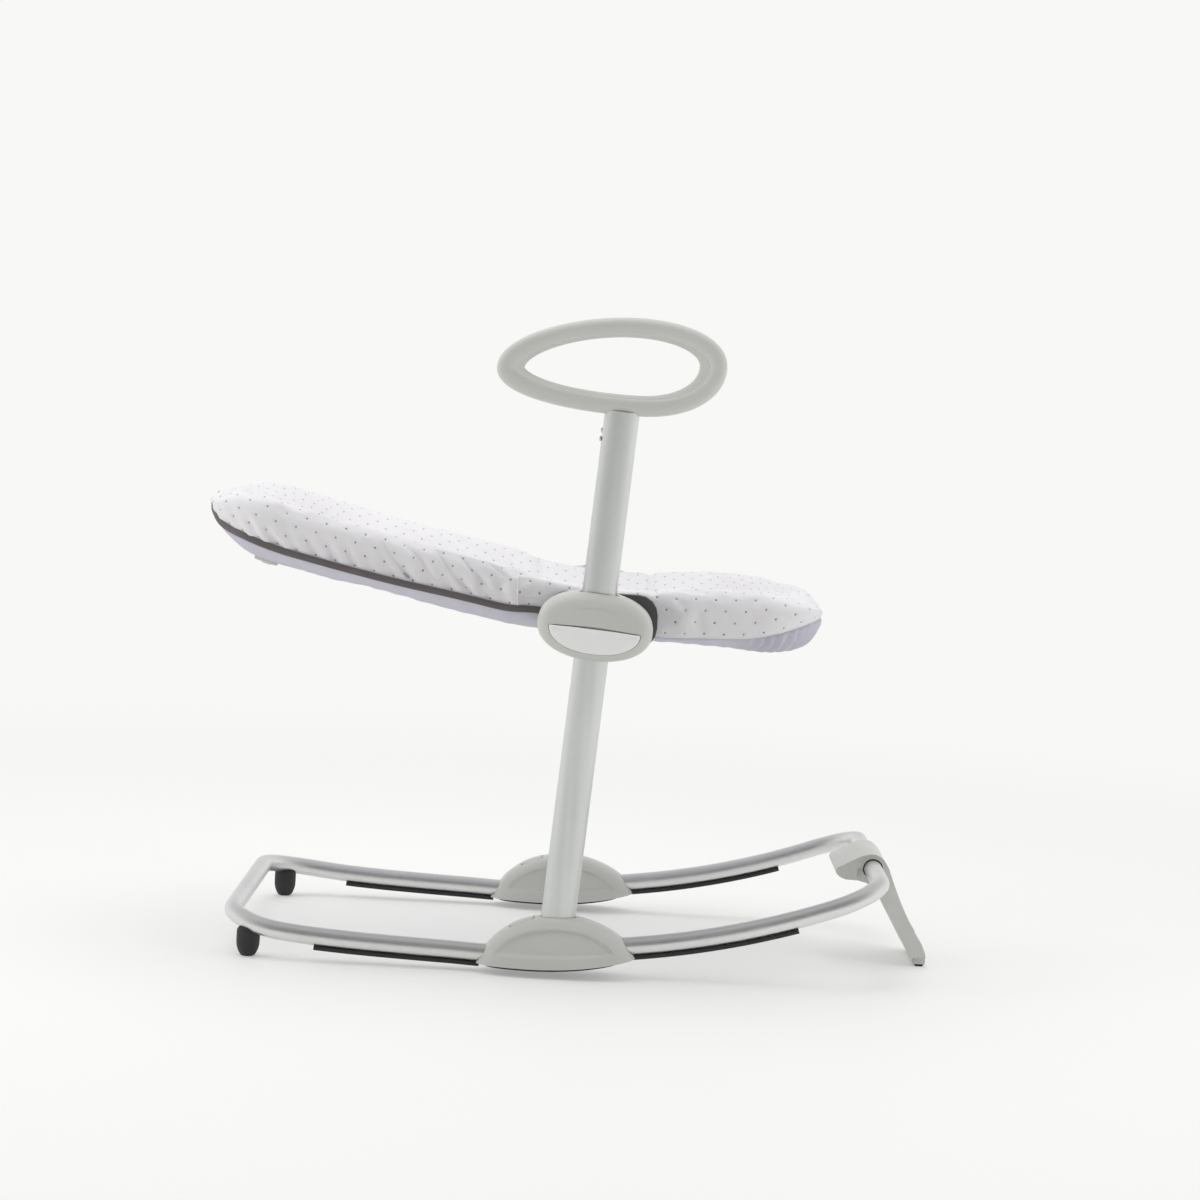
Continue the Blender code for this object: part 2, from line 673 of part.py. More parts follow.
# ---------------------------------------------------------------- carriages
def hub_place(y, across=0.0, rise=0.0, z_axis=(0, 1, 0)):
    """A place by the hub: across the post towards the foot end, and up along it."""
    point = Vector((HUB_X, y, HUB_Z)) + ACROSS_POST * across + POST_AXIS * rise
    return placed(point, ACROSS_POST, z_axis)


def carriage(label, side):
    hub = (HUB_X, HUB_Z)
    split = TRACK
    outline = oval(CARRIAGE_HALF, 30)
    outer = prism("carriage_outer_" + label, outline,
                  (side * (split + GAP / 2), side * CARRIAGE_OUTER), "light_plastic",
                  turn=POST_LEAN, centre=hub)
    inner = prism("carriage_inner_" + label, outline,
                  (side * CARRIAGE_INNER, side * (split - GAP / 2)), "light_plastic",
                  turn=POST_LEAN, centre=hub)
    round_edges(outer, 0.005, 1)
    round_edges(inner, 0.003, 1)
    for shell in (outer, inner):
        keep_split_edge_sharp(shell, side * split)

    bore_extra = BORE_HALF[0] - POST_HALF[0]
    bore = post_cutter("carriage_bore_" + label, bore_extra, (HUB_ALONG - 0.06, HUB_ALONG + 0.06),
                       side)
    slot_length = -LATCH_SPRING_END - POST_HALF[0] + 0.002
    slot_middle = LATCH_SPRING_END + slot_length / 2
    slot_place = placed(post_point(HUB_ALONG + LATCH_RISE, side, slot_middle),
                        ACROSS_POST, POST_AXIS)
    slot = box("latch_slot_" + label, (slot_length, 0.0100, 0.0140), None, slot_place)
    cut(outer, bore, slot)
    cut(inner, bore, slot)
    pocket = prism("button_pocket_" + label, button_outline(0.0006),
                   (side * BUTTON_POCKET, side * (CARRIAGE_OUTER + 0.01)), None,
                   turn=POST_LEAN, centre=hub)
    well = cylinder("button_spring_well_" + label, 0.0045, 0.030, None,
                    hub_place(side * (BUTTON_POCKET - 0.0135 + 0.015), 0.035, -0.012))
    cut(outer, pocket, well)
    pin_seat = cylinder("pivot_seat_" + label, PIVOT_RADIUS + GAP, 0.018, None,
                        hub_place(side * (CARRIAGE_INNER)))
    cut(inner, pin_seat)

    bush_half = (BORE_HALF[0] - GAP, BORE_HALF[1] - GAP)
    length = 0.073
    bm = bmesh.new()
    bmesh.ops.create_cone(bm, cap_ends=False, segments=28, radius1=bush_half[0],
                          radius2=bush_half[0], depth=length)
    bmesh.ops.scale(bm, vec=(1, bush_half[1] / bush_half[0], 1), verts=bm.verts)
    bush = add("guide_bush_" + label, mesh_from(bm, "guide_bush_" + label), "dark_plastic",
               placed(post_point(HUB_ALONG, side), ACROSS_POST, POST_AXIS))
    wall = bush.modifiers.new("wall", "SOLIDIFY")
    wall.thickness = 0.0024
    wall.offset = -1
    cut(bush, slot)


def keep_split_edge_sharp(shell, split_y):
    """The bevel leaves the edge at the split plane alone."""
    mesh = shell.data
    names = mesh.attributes.new("bevel_weight_edge", "FLOAT", "EDGE")
    for edge in mesh.edges:
        ends = [(shell.matrix_world @ mesh.vertices[i].co).y for i in edge.vertices]
        inside = all(abs(y - split_y) < 0.001 for y in ends)
        along_rim = abs(ends[0] - ends[1]) < 0.0001
        names.data[edge.index].value = 1.0 if along_rim and not inside else 0.0
    shell.modifiers["rounded"].limit_method = "WEIGHT"


def button_outline(extra=0.0):
    """A half-moon: the lower half of an oval, with rounded ends."""
    half = (BUTTON_HALF[0] + extra, BUTTON_HALF[1] + extra)
    arc = oval(half, 16, 2.2, math.pi, 2 * math.pi)
    lift = extra
    return [(x, z - 0.0025 + lift if abs(z) < 0.00001 else z - 0.0025) for x, z in arc]


def height_button(label, side):
    prism("height_button_" + label, button_outline(),
          (side * BUTTON_FACES[0], side * BUTTON_FACES[1]), "button_plastic",
          turn=POST_LEAN, centre=(HUB_X, HUB_Z), bevel=0.0014)
    start = hub_place(side * (BUTTON_FACES[0] - GAP), 0.035, -0.012).translation
    coil("button_spring_" + label, start, (0, -side, 0), 0.0175, 0.0034, 0.0005, 4)


def latch(label, side):
    """The sprung pin that drops into the post's latch holes."""
    front = -POST_HALF[0] - GAP - 0.0002
    middle = post_point(HUB_ALONG + LATCH_RISE, side, front - LATCH_SIZE[0] / 2)
    box("latch_pin_" + label, LATCH_SIZE, "dark_plastic",
        placed(middle, ACROSS_POST, POST_AXIS), bevel=0.0015)
    back = front - LATCH_SIZE[0] - GAP
    start = post_point(HUB_ALONG + LATCH_RISE, side, back)
    coil("latch_spring_" + label, start, -ACROSS_POST, back - LATCH_SPRING_END - GAP,
         0.0036, 0.0005, 4)


# ---------------------------------------------------------------- seat
def hub(label, side):
    """Bracket, saddle, pivot pin and lock pin between a carriage and the seat frame."""
    faces = (side * HUB_BRACKET_FACES[0], side * HUB_BRACKET_FACES[1])
    middle = (HUB_X + HUB_BRACKET_OFFSET[0], HUB_Z + HUB_BRACKET_OFFSET[1])
    outline = rounded_rectangle(HUB_BRACKET_HALF, HUB_BRACKET_CORNER)
    bracket = prism("hub_bracket_" + label, outline, faces, "dark_plastic", centre=middle)
    pin_way = cylinder("pivot_way_" + label, PIVOT_RADIUS + 0.0006, 0.06, None,
                       hub_place(side * 0.182))
    lock_way = cylinder("lock_way_" + label, LOCK_RADIUS + 0.0006, 0.06, None,
                        hub_place(side * 0.182, -0.030, -0.012))
    cut(bracket, pin_way, lock_way)
    seat_cut = cylinder("pin_head_way_" + label, 0.0098, 0.0050, None,
                        hub_place(side * 0.1728))
    cut(bracket, seat_cut)
    profile = [(0, 0.0158), (LOCK_RADIUS - 0.0006, 0.0158), (LOCK_RADIUS, 0.0150),
               (LOCK_RADIUS, 0), (0, 0)]
    lock = turned_mesh(profile, "recline_lock_pin_" + label, steps=16)
    add("recline_lock_pin_" + label, lock, "steel",
        hub_place(side * 0.1758, -0.030, -0.012, (0, side, 0)))

    # saddle: a light block under the seat frame, screwed to the bracket
    y_faces = (side * 0.1515, side * (HUB_BRACKET_FACES[0] - GAP))
    outline = [(-0.030, 0.437), (-0.036, 0.424), (-0.052, 0.4135), (-0.056, 0.4090),
               (-0.050, 0.4040), (-0.036, 0.3995), (0.050, 0.396), (0.076, 0.403),
               (0.088, 0.414), (0.088, 0.429)]
    saddle = prism("seat_saddle_" + label, outline, y_faces, "light_plastic")
    seat = tube("saddle_seat_" + label, frame_path(), FRAME_RADIUS + GAP, None, 4, closed=True)
    relief = cylinder("saddle_relief_" + label, 0.0125, 0.060, None, hub_place(side * 0.1600))
    lock_relief = cylinder("saddle_lock_relief_" + label, 0.0042, 0.060, None,
                           hub_place(side * 0.1600, -0.030, -0.012))
    cut(saddle, seat, relief, lock_relief)


def pivot_pin(label, side):
    """A headed pin from the hub bracket into the carriage."""
    profile = [(0, 0.0256), (PIVOT_RADIUS, 0.0256), (PIVOT_RADIUS, 0.0008), (0.0092, 0.0008),
               (0.0092, -0.0010), (0, -0.0010)]
    name = "pivot_pin_" + label
    add(name, turned_mesh(profile, name, steps=24), "steel",
        hub_place(side * 0.1740, z_axis=(0, side, 0)))


def frame_path(steps=5):
    """The seat frame's closed loop, inside the fabric's edge."""
    head = SEAT_HEAD_X + FRAME_INSET
    foot = SEAT_FOOT_X - FRAME_INSET
    wide = SEAT_HALF_WIDTH - FRAME_INSET
    plan = []
    for end, corner, way in ((head, HEAD_CORNER - FRAME_INSET, 1), (foot, FOOT_CORNER - FRAME_INSET, -1)):
        arc = []
        for i in range(steps + 1):
            turn = math.pi / 2 * i / steps
            arc.append((end + way * corner * (1 - math.sin(turn)),
                        wide - corner * (1 - math.cos(turn))))
        plan.append(arc)
    head_arc, foot_arc = plan
    rail = []
    first, last = head_arc[0][0], foot_arc[0][0]
    count = 10
    for i in range(1, count):
        rail.append((first + (last - first) * i / count, wide))
    upper = head_arc[::-1] + rail + foot_arc
    loop = upper + [(x, -y) for x, y in reversed(upper)]
    return [Vector((x, y, along(FRAME_LINE, x))) for x, y in loop]


def seat_frame():
    tube("seat_frame_tube", frame_path(), FRAME_RADIUS, "steel", resolution=2, closed=True)


def pad_section(x):
    """Half of the liner's cross-section at x, from the middle of the top to the bottom."""
    wide = plan_half_width(x)
    rail = along(FRAME_LINE, x) + FRAME_RADIUS + 0.0012
    ridge = max(along(RIDGE, x), rail + 0.010)
    end = min(x - SEAT_HEAD_X, SEAT_FOOT_X - x)
    inner = plan_half_width(x, 2 * FRAME_INSET + 0.0035) if end > 2 * FRAME_INSET + 0.004 else 0
    sling = along(UNDERSIDE, x) + SLING_THICKNESS + 0.001
    dip = min(1.0, max(0.0, (end - 0.0235) / 0.022))
    bottom = rail + (min(sling, rail) - rail) * dip
    top = min(max(bottom + PAD_THICKNESS, along(UNDERSIDE, x) + 0.028), ridge - 0.002)
    rise = ridge - top
    upper = [(0.0, top), (0.34 * wide, top + 0.06 * rise), (0.58 * wide, top + 0.28 * rise),
             (0.76 * wide, top + 0.72 * rise), (0.90 * wide, ridge), (0.975 * wide, ridge - 0.004),
             (wide, max(rail + 0.004, ridge - 0.012))]
    shoulder = max(0.62 * wide, inner) if inner else 0.80 * wide
    lower = [(wide, rail), (shoulder, rail), (0.62 * shoulder, bottom + 0.30 * (rail - bottom)),
             (0.34 * shoulder, bottom + 0.05 * (rail - bottom)), (0.0, bottom)]
    return upper, lower


def loft(name, sections, look):
    """A closed skin over cross-sections of equal point counts, all in the +Y half.

    Each section starts and ends on the middle plane, and is mirrored. Every quad is split
    the same way seen from the middle, so that two lofts side by side keep their gap.
    """
    bm = bmesh.new()
    rings = []
    for x, half in sections:
        whole = half + [(-y, z) for y, z in reversed(half[1:-1])]
        rings.append([bm.verts.new((x, y, z)) for y, z in whole])
    count = len(rings[0])
    for first, second in zip(rings, rings[1:]):
        for i in range(count):
            j = (i + 1) % count
            near, far = (i, j) if abs(first[i].co.y) <= abs(first[j].co.y) else (j, i)
            bm.faces.new((first[near], first[far], second[far]))
            bm.faces.new((first[near], second[far], second[near]))
    bm.faces.new(rings[0])
    bm.faces.new(rings[-1])
    return add(name, mesh_from(bm, name), look)


def stations(count):
    """X positions along the seat, closer together at its ends."""
    return [SEAT_HEAD_X + (SEAT_FOOT_X - SEAT_HEAD_X) * (1 - math.cos(math.pi * i / count)) / 2
            for i in range(count + 1)]


def seat_pad():
    sections = []
    for x in stations(PAD_STATIONS):
        upper, lower = pad_section(x)
        sections.append((x, upper + lower))
    loft("seat_pad", sections, "pad_fabric")


def sling():
    """The cloth that the liner lies in, hung from the frame."""
    sections = []
    for x in stations(PAD_STATIONS):
        if not SEAT_HEAD_X + 0.028 < x < SEAT_FOOT_X - 0.028:
            continue
        _, lower = pad_section(x)
        top = [(y, z - 0.0008) for y, z in lower[1:]]
        top[0] = (top[0][0] - 0.0015, top[0][1] - 0.006)
        bottom = [(y - 0.001 if y > 0.001 else y, z - SLING_THICKNESS) for y, z in top]
        sections.append((x, top[::-1] + bottom))
    loft("sling", sections, "sling_fabric")


def recline_parts():
    """The lever under the head end, its housing, and the wire that carries them."""
    slope = (along(UNDERSIDE, RECLINE_X + 0.02) - along(UNDERSIDE, RECLINE_X - 0.02)) / 0.04
    way = Vector((1, 0, slope)).normalized()
    out = Vector((-way.z, 0, way.x))
    base = Vector((RECLINE_X, 0, along(UNDERSIDE, RECLINE_X) - 0.0015))
    housing_place = placed(base - out * 0.0040, way, out)
    housing = box("recline_housing", (0.046, 0.050, 0.008), "light_plastic", housing_place,
                  bevel=0.002)
    pocket = box("recline_pocket", (0.032, 0.0324, 0.010), None,
                 placed(base - out * 0.0070, way, out))
    cut(housing, pocket)
    lever_place = placed(base - out * 0.0064 + way * 0.0030, way, out)
    box("recline_lever", (0.022, 0.031, 0.008), "light_plastic", lever_place, bevel=0.0025)
    wire_x = RECLINE_X - 0.018
    reach = plan_half_width(wire_x, FRAME_INSET) - FRAME_RADIUS - 0.008
    _, lower = pad_section(wire_x)
    points = []
    for i in range(-7, 8):
        y = reach * i / 7
        points.append(Vector((wire_x, y, section_height(lower, abs(y)) - 0.0115)))
    wire = tube("recline_wire", points, 0.0022, None, resolution=2)
    unite(housing, wire)


def section_height(lower, y):
    """Height of the lower line of a pad section at a distance from the middle."""
    line = sorted(lower[1:])
    for (y0, z0), (y1, z1) in zip(line, line[1:]):
        if y <= y1:
            return z0 + (z1 - z0) * (y - y0) / (y1 - y0)
    return line[-1][1]


# ---------------------------------------------------------------- harness
def strap(name, points, half_width, thickness, across, look):
    """A flat strap through points, wide along the across direction."""
    bm = bmesh.new()
    side_dir = Vector(across).normalized()
    rings = []
    for i, point in enumerate(points):
        ahead = points[min(i + 1, len(points) - 1)] - points[max(i - 1, 0)]
        normal = ahead.cross(side_dir).normalized() * (thickness / 2)
        wide = side_dir * half_width
        rings.append([bm.verts.new(point + wide * a + normal * b)
                      for a, b in ((-1, -1), (1, -1), (1, 1), (-1, 1))])
    for first, second in zip(rings, rings[1:]):
        for i in range(4):
            j = (i + 1) % 4
            bm.faces.new((first[i], first[j], second[j], second[i]))
    bm.faces.new(rings[0])
    bm.faces.new(rings[-1])
    return add(name, mesh_from(bm, name), look)


def pad_top(x, y):
    """Height of the liner's upper surface."""
    upper, _ = pad_section(x)
    for (y0, z0), (y1, z1) in zip(upper, upper[1:]):
        if y <= y1:
            return z0 + (z1 - z0) * (y - y0) / (y1 - y0)
    return upper[-1][1]


def harness():
    """A waist strap across the liner, a crotch strap, and the buckle that joins them."""
    buckle_x = 0.020
    lie = 0.0030
    buckle_z = pad_top(buckle_x, 0) + 0.0120
    place = placed((buckle_x, 0, buckle_z))
    housing = prism("buckle_housing", oval((0.024, 0.027), 24, 3.0), (-0.0055, 0.0055),
                    "dark_plastic")
    housing.matrix_world = place
    round_edges(housing, 0.002)
    well = cylinder("buckle_well", 0.0086, 0.012, None, placed((buckle_x, 0, buckle_z + 0.0055)))
    cut(housing, well)
    cylinder("buckle_button", 0.0080, 0.0032, "button_plastic",
             placed((buckle_x, 0, buckle_z + 0.0045)), 24)
    waist = []
    for i in range(-7, 8):
        y = 0.117 * i / 7
        x = buckle_x - 0.020 * (i / 7) ** 2
        waist.append(Vector((x, y, max(pad_top(x - 0.0125, abs(y)), pad_top(x, abs(y))) + lie)))
    webbing = strap("harness_webbing", waist, 0.0125, 0.0016, (1, 0, 0), "webbing")
    crotch = []
    for i in range(6):
        x = buckle_x + 0.080 * i / 5
        crotch.append(Vector((x, 0, pad_top(x, 0) + lie)))
    leg = strap("crotch_strap", crotch, 0.0120, 0.0015, (0, 1, 0), None)
    unite(webbing, leg)


# ---------------------------------------------------------------- stand
def stand():
    """The fold-out leg round the rear cross tube, its clamp cap, pad and screws."""
    axis = (REAR_CROSS_X, REAR_CROSS_Z)
    width = (-STAND_HALF_WIDTH, STAND_HALF_WIDTH)
    tip_x, tip_z = STAND_TIP
    body = [(-0.0235, 0.0105), (-0.0095, 0.0168), (0.0045, 0.0175), (0.0160, 0.0080),
            (0.0260, -0.0140), (0.0390, -0.0440), (0.0560, -0.0760), (0.0705, -0.1010),
            (tip_x + 0.0045, tip_z + 0.0080), (tip_x - 0.0075, tip_z + 0.0080),
            (0.0420, -0.0910), (0.0260, -0.0640), (0.0150, -0.0450), (0.0060, -0.0290),
            (-0.0070, -0.0195), (-0.0210, -0.0155), (-0.0380, -0.0135), (-0.0462, -0.0035),
            (-0.0370, 0.0030)]
    leg = prism("stand_leg", body, width, "light_plastic", smooth=True, centre=axis)
    bore_place = placed((axis[0], 0, axis[1]), (1, 0, 0), (0, 1, 0))
    bore = cylinder("stand_bore", STAND_BORE, 0.30, None, bore_place, 32)
    cap_outline = [(-0.0190, -GAP), (-0.0190, -0.0160), (-0.0070, -0.0190), (0.0050, -0.0270),
                   (0.0080, -0.0290), (0.0080, -GAP)]
    cap_gap = prism("stand_cap_gap", [(-0.0193, 0.0), (-0.0193, -0.045), (0.0083, -0.045),
                                      (0.0083, 0.0)], (-0.15, 0.15), None, centre=axis)
    window = box("stand_window", (0.070, 0.076, 0.034), None,
                 placed((axis[0] + 0.055, 0, axis[1] - 0.075), (0.47, 0, -0.88), (0.88, 0, 0.47)))
    round_edges(window, 0.010, 3)
    below_tip = box("stand_tip_cut", (0.060, 0.30, 0.030), None,
                    placed((axis[0] + tip_x, 0, axis[1] + tip_z + 0.0120 - 0.015)))
    cut(leg, bore, cap_gap, window, below_tip)
    cap_faces = (-STAND_HALF_WIDTH + 0.005, STAND_HALF_WIDTH - 0.005)
    cap = prism("stand_clamp_cap", cap_outline, cap_faces, "light_plastic", centre=axis)
    cut(cap, bore)
    pad_outline = [(tip_x - 0.0085, tip_z + 0.0117), (tip_x - 0.0085, tip_z + 0.004),
                   (tip_x - 0.0055, tip_z), (tip_x + 0.0030, tip_z),
                   (tip_x + 0.0055, tip_z + 0.004), (tip_x + 0.0055, tip_z + 0.0117)]
    prism("stand_foot_pad", pad_outline, (-0.050, 0.050), "rubber", centre=axis)


# ---------------------------------------------------------------- assembly
def centre_on_origin():
    for obj in bpy.data.objects:
        obj.location.x += CENTRE_SHIFT


def build():
    clear_scene()
    base_tubes()
    for label, side in SIDES:
        rocker_strip("front_rocker_strip_" + label, side, FRONT_STRIP, front_z)
        rocker_strip("rear_rocker_strip_" + label, side, REAR_STRIP, rear_z)
        front_foot(label, side)
        shoe(label, side)
        release_button(label, side)
        post(label, side)
        handle(label, side)
        carriage(label, side)
        height_button(label, side)
        latch(label, side)
        hub(label, side)
        pivot_pin(label, side)
    seat_frame()
    seat_pad()
    sling()
    recline_parts()
    harness()
    stand()
    centre_on_origin()


build()
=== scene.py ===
"""The looks of the bouncer seat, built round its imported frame.

Metres, +Z up, +X towards the foot end. The child's right side is at -Y.
"""

import json
import math

import bmesh
import bpy
import numpy as np
from mathutils import Matrix, Vector, noise
from mathutils.bvhtree import BVHTree


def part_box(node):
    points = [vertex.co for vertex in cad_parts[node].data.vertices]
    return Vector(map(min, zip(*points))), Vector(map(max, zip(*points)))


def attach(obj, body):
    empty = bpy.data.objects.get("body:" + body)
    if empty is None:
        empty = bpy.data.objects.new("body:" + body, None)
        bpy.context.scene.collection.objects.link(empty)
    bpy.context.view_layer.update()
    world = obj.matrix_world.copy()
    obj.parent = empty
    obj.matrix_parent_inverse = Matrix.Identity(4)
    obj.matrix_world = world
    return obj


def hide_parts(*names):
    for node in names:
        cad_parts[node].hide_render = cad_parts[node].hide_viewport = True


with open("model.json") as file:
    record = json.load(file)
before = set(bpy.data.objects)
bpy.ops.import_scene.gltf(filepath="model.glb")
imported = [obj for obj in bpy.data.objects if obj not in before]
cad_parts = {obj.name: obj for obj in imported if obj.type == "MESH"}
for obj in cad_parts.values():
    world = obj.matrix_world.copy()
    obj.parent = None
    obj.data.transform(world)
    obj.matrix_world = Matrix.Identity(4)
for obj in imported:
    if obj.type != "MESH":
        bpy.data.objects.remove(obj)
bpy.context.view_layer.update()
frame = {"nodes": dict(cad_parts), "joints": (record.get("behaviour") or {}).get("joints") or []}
SIDES = (("right", -1), ("left", 1))


DRAWN_HUB_X = 0.0285             # the hub's place in the drawing that the sizes below are from
TO_FRAME = Vector((sum(corner.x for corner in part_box("pivot_pin_left")) / 2 - DRAWN_HUB_X, 0, 0))


def box(node):
    """A CAD node's box, in the drawing's coordinates."""
    low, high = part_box(node)
    return low - TO_FRAME, high - TO_FRAME


def middle(node):
    low, high = box(node)
    return (low + high) / 2


def pairs(stem):
    """The right and left node of that stem, each with its side."""
    return [(stem + label, side) for label, side in SIDES]


# ---------------------------------------------------------------- places read from the frame
JOINTS = {joint["name"]: joint for joint in frame["joints"]}
POST_AXIS = Vector(JOINTS["seat_height"]["axis"]).normalized()
ACROSS_POST = Vector((POST_AXIS.z, 0, -POST_AXIS.x))
POST_MIDDLE = middle("post_left")
TRACK = POST_MIDDLE.y
HUB = middle("pivot_pin_left")
SEAT_LOW, SEAT_HIGH = box("seat_pad")
HALF_WIDTH = SEAT_HIGH.y

# ---------------------------------------------------------------- sizes
TUBE_RADIUS = 0.011
POST_HALF = (0.0207, 0.0150)
POST_LENGTH = 0.6435
BORE_HALF = (0.0182, 0.0239)
HEAD_CORNER = 0.110
FOOT_CORNER = 0.075
LATCH_PITCH = 0.085
LATCH_RISE = 0.013

# side view of the seat: (x, height)
RIDGE = [(-0.449, 0.538), (-0.432, 0.5465), (-0.405, 0.5495), (-0.375, 0.5465),
         (-0.345, 0.537), (-0.272, 0.519), (-0.212, 0.506), (-0.139, 0.490), (-0.090, 0.480),
         (-0.030, 0.468), (0.035, 0.460), (0.080, 0.460), (0.151, 0.463), (0.224, 0.462),
         (0.258, 0.457), (0.284, 0.450), (0.304, 0.440)]
RIM = [(-0.449, 0.531), (-0.4315, 0.513), (-0.3958, 0.499), (-0.3617, 0.4885),
       (-0.3295, 0.4805), (-0.2685, 0.467), (-0.2085, 0.455), (-0.1475, 0.4445),
       (-0.1175, 0.439), (-0.078, 0.432), (-0.040, 0.4310), (0.040, 0.417), (0.1025, 0.406),
       (0.155, 0.407), (0.2145, 0.410), (0.2505, 0.419), (0.2735, 0.427), (0.292, 0.4335),
       (0.304, 0.437)]
UNDERSIDE = [(-0.449, 0.524), (-0.4385, 0.5005), (-0.424, 0.488), (-0.400, 0.4745),
             (-0.365, 0.466), (-0.295, 0.4505), (-0.259, 0.4455), (-0.223, 0.4385),
             (-0.170, 0.4255), (-0.1165, 0.4145), (-0.058, 0.4045), (0.000, 0.3995),
             (0.060, 0.3975), (0.130, 0.3965), (0.200, 0.3935), (0.255, 0.3925),
             (0.288, 0.398), (0.304, 0.417)]


def along(line, x):
    """Height of a smooth line through the given points (Catmull-Rom)."""
    last = len(line) - 1
    i = 0
    while i < last - 1 and line[i + 1][0] < x:
        i += 1
    (x0, z0), (x1, z1) = line[i], line[i + 1]
    t = min(1.0, max(0.0, (x - x0) / (x1 - x0)))
    before = line[i - 1] if i else (2 * x0 - x1, 2 * z0 - z1)
    after = line[i + 2] if i + 2 <= last else (2 * x1 - x0, 2 * z1 - z0)
    m0 = (z1 - before[1]) / (x1 - before[0]) * (x1 - x0)
    m1 = (after[1] - z0) / (after[0] - x0) * (x1 - x0)
    rise = (2 * t ** 3 - 3 * t ** 2 + 1) * z0 + (3 * t ** 2 - 2 * t ** 3) * z1
    return rise + (t ** 3 - 2 * t ** 2 + t) * m0 + (t ** 3 - t ** 2) * m1


def smooth(low, high, value):
    """0 below low, 1 above high, and an even step between."""
    t = min(1.0, max(0.0, (value - low) / (high - low)))
    return t * t * (3 - 2 * t)


# ---------------------------------------------------------------- camera, light and floor
BACKDROP = (0.940, 0.940, 0.925, 1)


def placed(name, data):
    """A new object, linked into the scene."""
    obj = bpy.data.objects.new(name, data)
    bpy.context.scene.collection.objects.link(obj)
    return obj


def camera():
    pitch, roll = math.radians(4.565), math.radians(3.1)
    forward = Vector((0, math.cos(pitch), -math.sin(pitch)))
    level = Vector((1, 0, 0))
    tilted = Vector((0, math.sin(pitch), math.cos(pitch)))
    right = level * math.cos(roll) + tilted * math.sin(roll)
    up = tilted * math.cos(roll) - level * math.sin(roll)
    data = bpy.data.cameras.new("camera")
    data.lens = 89.58
    data.sensor_width = 36
    obj = placed("camera", data)
    turn = Matrix((right, up, -forward)).transposed().to_4x4()
    obj.matrix_world = Matrix.Translation(Vector((0.0325, -3.744, 0.733)) + TO_FRAME) @ turn
    bpy.context.scene.camera = obj


def area_light(name, place, target, size, power):
    data = bpy.data.lights.new(name, "AREA")
    data.shape = "RECTANGLE"
    data.size, data.size_y = size
    data.energy = power
    obj = placed(name, data)
    obj.location = place
    obj.rotation_euler = (Vector(target) - Vector(place)).to_track_quat("-Z", "Y").to_euler()
    obj.visible_glossy = False


class Wiring:
    """A node tree, with short ways to wire its nodes."""

    def __init__(self, tree):
        self.tree = tree

    def wire(self, source, target):
        if hasattr(source, "links"):
            self.tree.links.new(source, target)
        else:
            target.default_value = source

    def node(self, kind, **inputs):
        """A new node. Its inputs are named with _ for a space."""
        made = self.tree.nodes.new("ShaderNode" + kind)
        for socket, value in inputs.items():
            self.wire(value, made.inputs[socket.replace("_", " ")])
        return made

    def math(self, operation, first, second=0.0):
        made = self.node("Math")
        made.operation = operation
        self.wire(first, made.inputs[0])
        self.wire(second, made.inputs[1])
        return made.outputs[0]

    def fit(self, value, low, high, to_low=0.0, to_high=1.0, interpolation="LINEAR"):
        made = self.node("MapRange", Value=value, From_Min=low, From_Max=high,
                         To_Min=to_low, To_Max=to_high)
        made.interpolation_type = interpolation
        return made.outputs["Result"]

    def mixed(self, factor, first, second):
        """One shader blended into another."""
        made = self.node("MixShader")
        for k, source in enumerate((factor, first.outputs[0], second.outputs[0])):
            self.wire(source, made.inputs[k])
        return made.outputs[0]


def studio():
    """A white room with a dark wall behind the camera and a ceiling that mirrors dimly, with
    soft boxes above and beside."""
    world = bpy.data.worlds.new("studio")
    bpy.context.scene.world = world
    world.use_nodes = True
    world.node_tree.nodes.clear()
    wiring = Wiring(world.node_tree)
    spot = wiring.node("SeparateXYZ", Vector=wiring.node("TexCoord").outputs["Generated"])
    rays = wiring.node("LightPath").outputs
    wall = wiring.fit(spot.outputs["Y"], 0.0, -0.90, 0.95, 0.25)
    ceiling = wiring.fit(spot.outputs["Z"], 0.15, 0.70, 0.0, 0.35)
    dimmed = wiring.math("SUBTRACT", 1.0, wiring.math("MULTIPLY", ceiling, rays["Is Glossy Ray"]))
    room = wiring.node("Background", Color=(1, 1, 1, 1),
                       Strength=wiring.math("MULTIPLY", wall, dimmed))
    white = wiring.node("Background", Color=BACKDROP)
    wiring.node("OutputWorld", Surface=wiring.mixed(rays["Is Camera Ray"], room, white))
    bpy.context.scene.view_settings.view_transform = "Standard"

    area_light("soft_box_above", (-0.4, 0.3, 2.6), (0, 0, 0.3), (2.4, 2.0), 26)
    area_light("soft_box_left", (-2.4, -0.9, 1.2), (0, 0, 0.4), (0.9, 1.8), 13)
    area_light("soft_box_right", (2.3, -0.9, 1.1), (0, 0, 0.4), (0.8, 1.8), 12)


def studio_floor():
    """A pale floor that fades to white away from the object."""
    bm = bmesh.new()
    bmesh.ops.create_circle(bm, cap_ends=True, segments=96, radius=30.0)
    floor = placed("studio_floor", mesh_of(bm, "studio_floor"))
    look = Look("studio_floor", (0.84, 0.84, 0.83), 0.55, Specular_IOR_Level=0.25)
    length = look.node("VectorMath", Vector=look.places.outputs["Object"])
    length.operation = "LENGTH"
    far = look.fit(length.outputs["Value"], 0.35, 2.6, 0.30, 1.0, "SMOOTHSTEP")
    surface = look.mixed(far, look.shader, look.node("Emission", Color=BACKDROP))
    look.wire(surface, look.tree.nodes["Material Output"].inputs["Surface"])
    floor.data.materials.append(look.material)


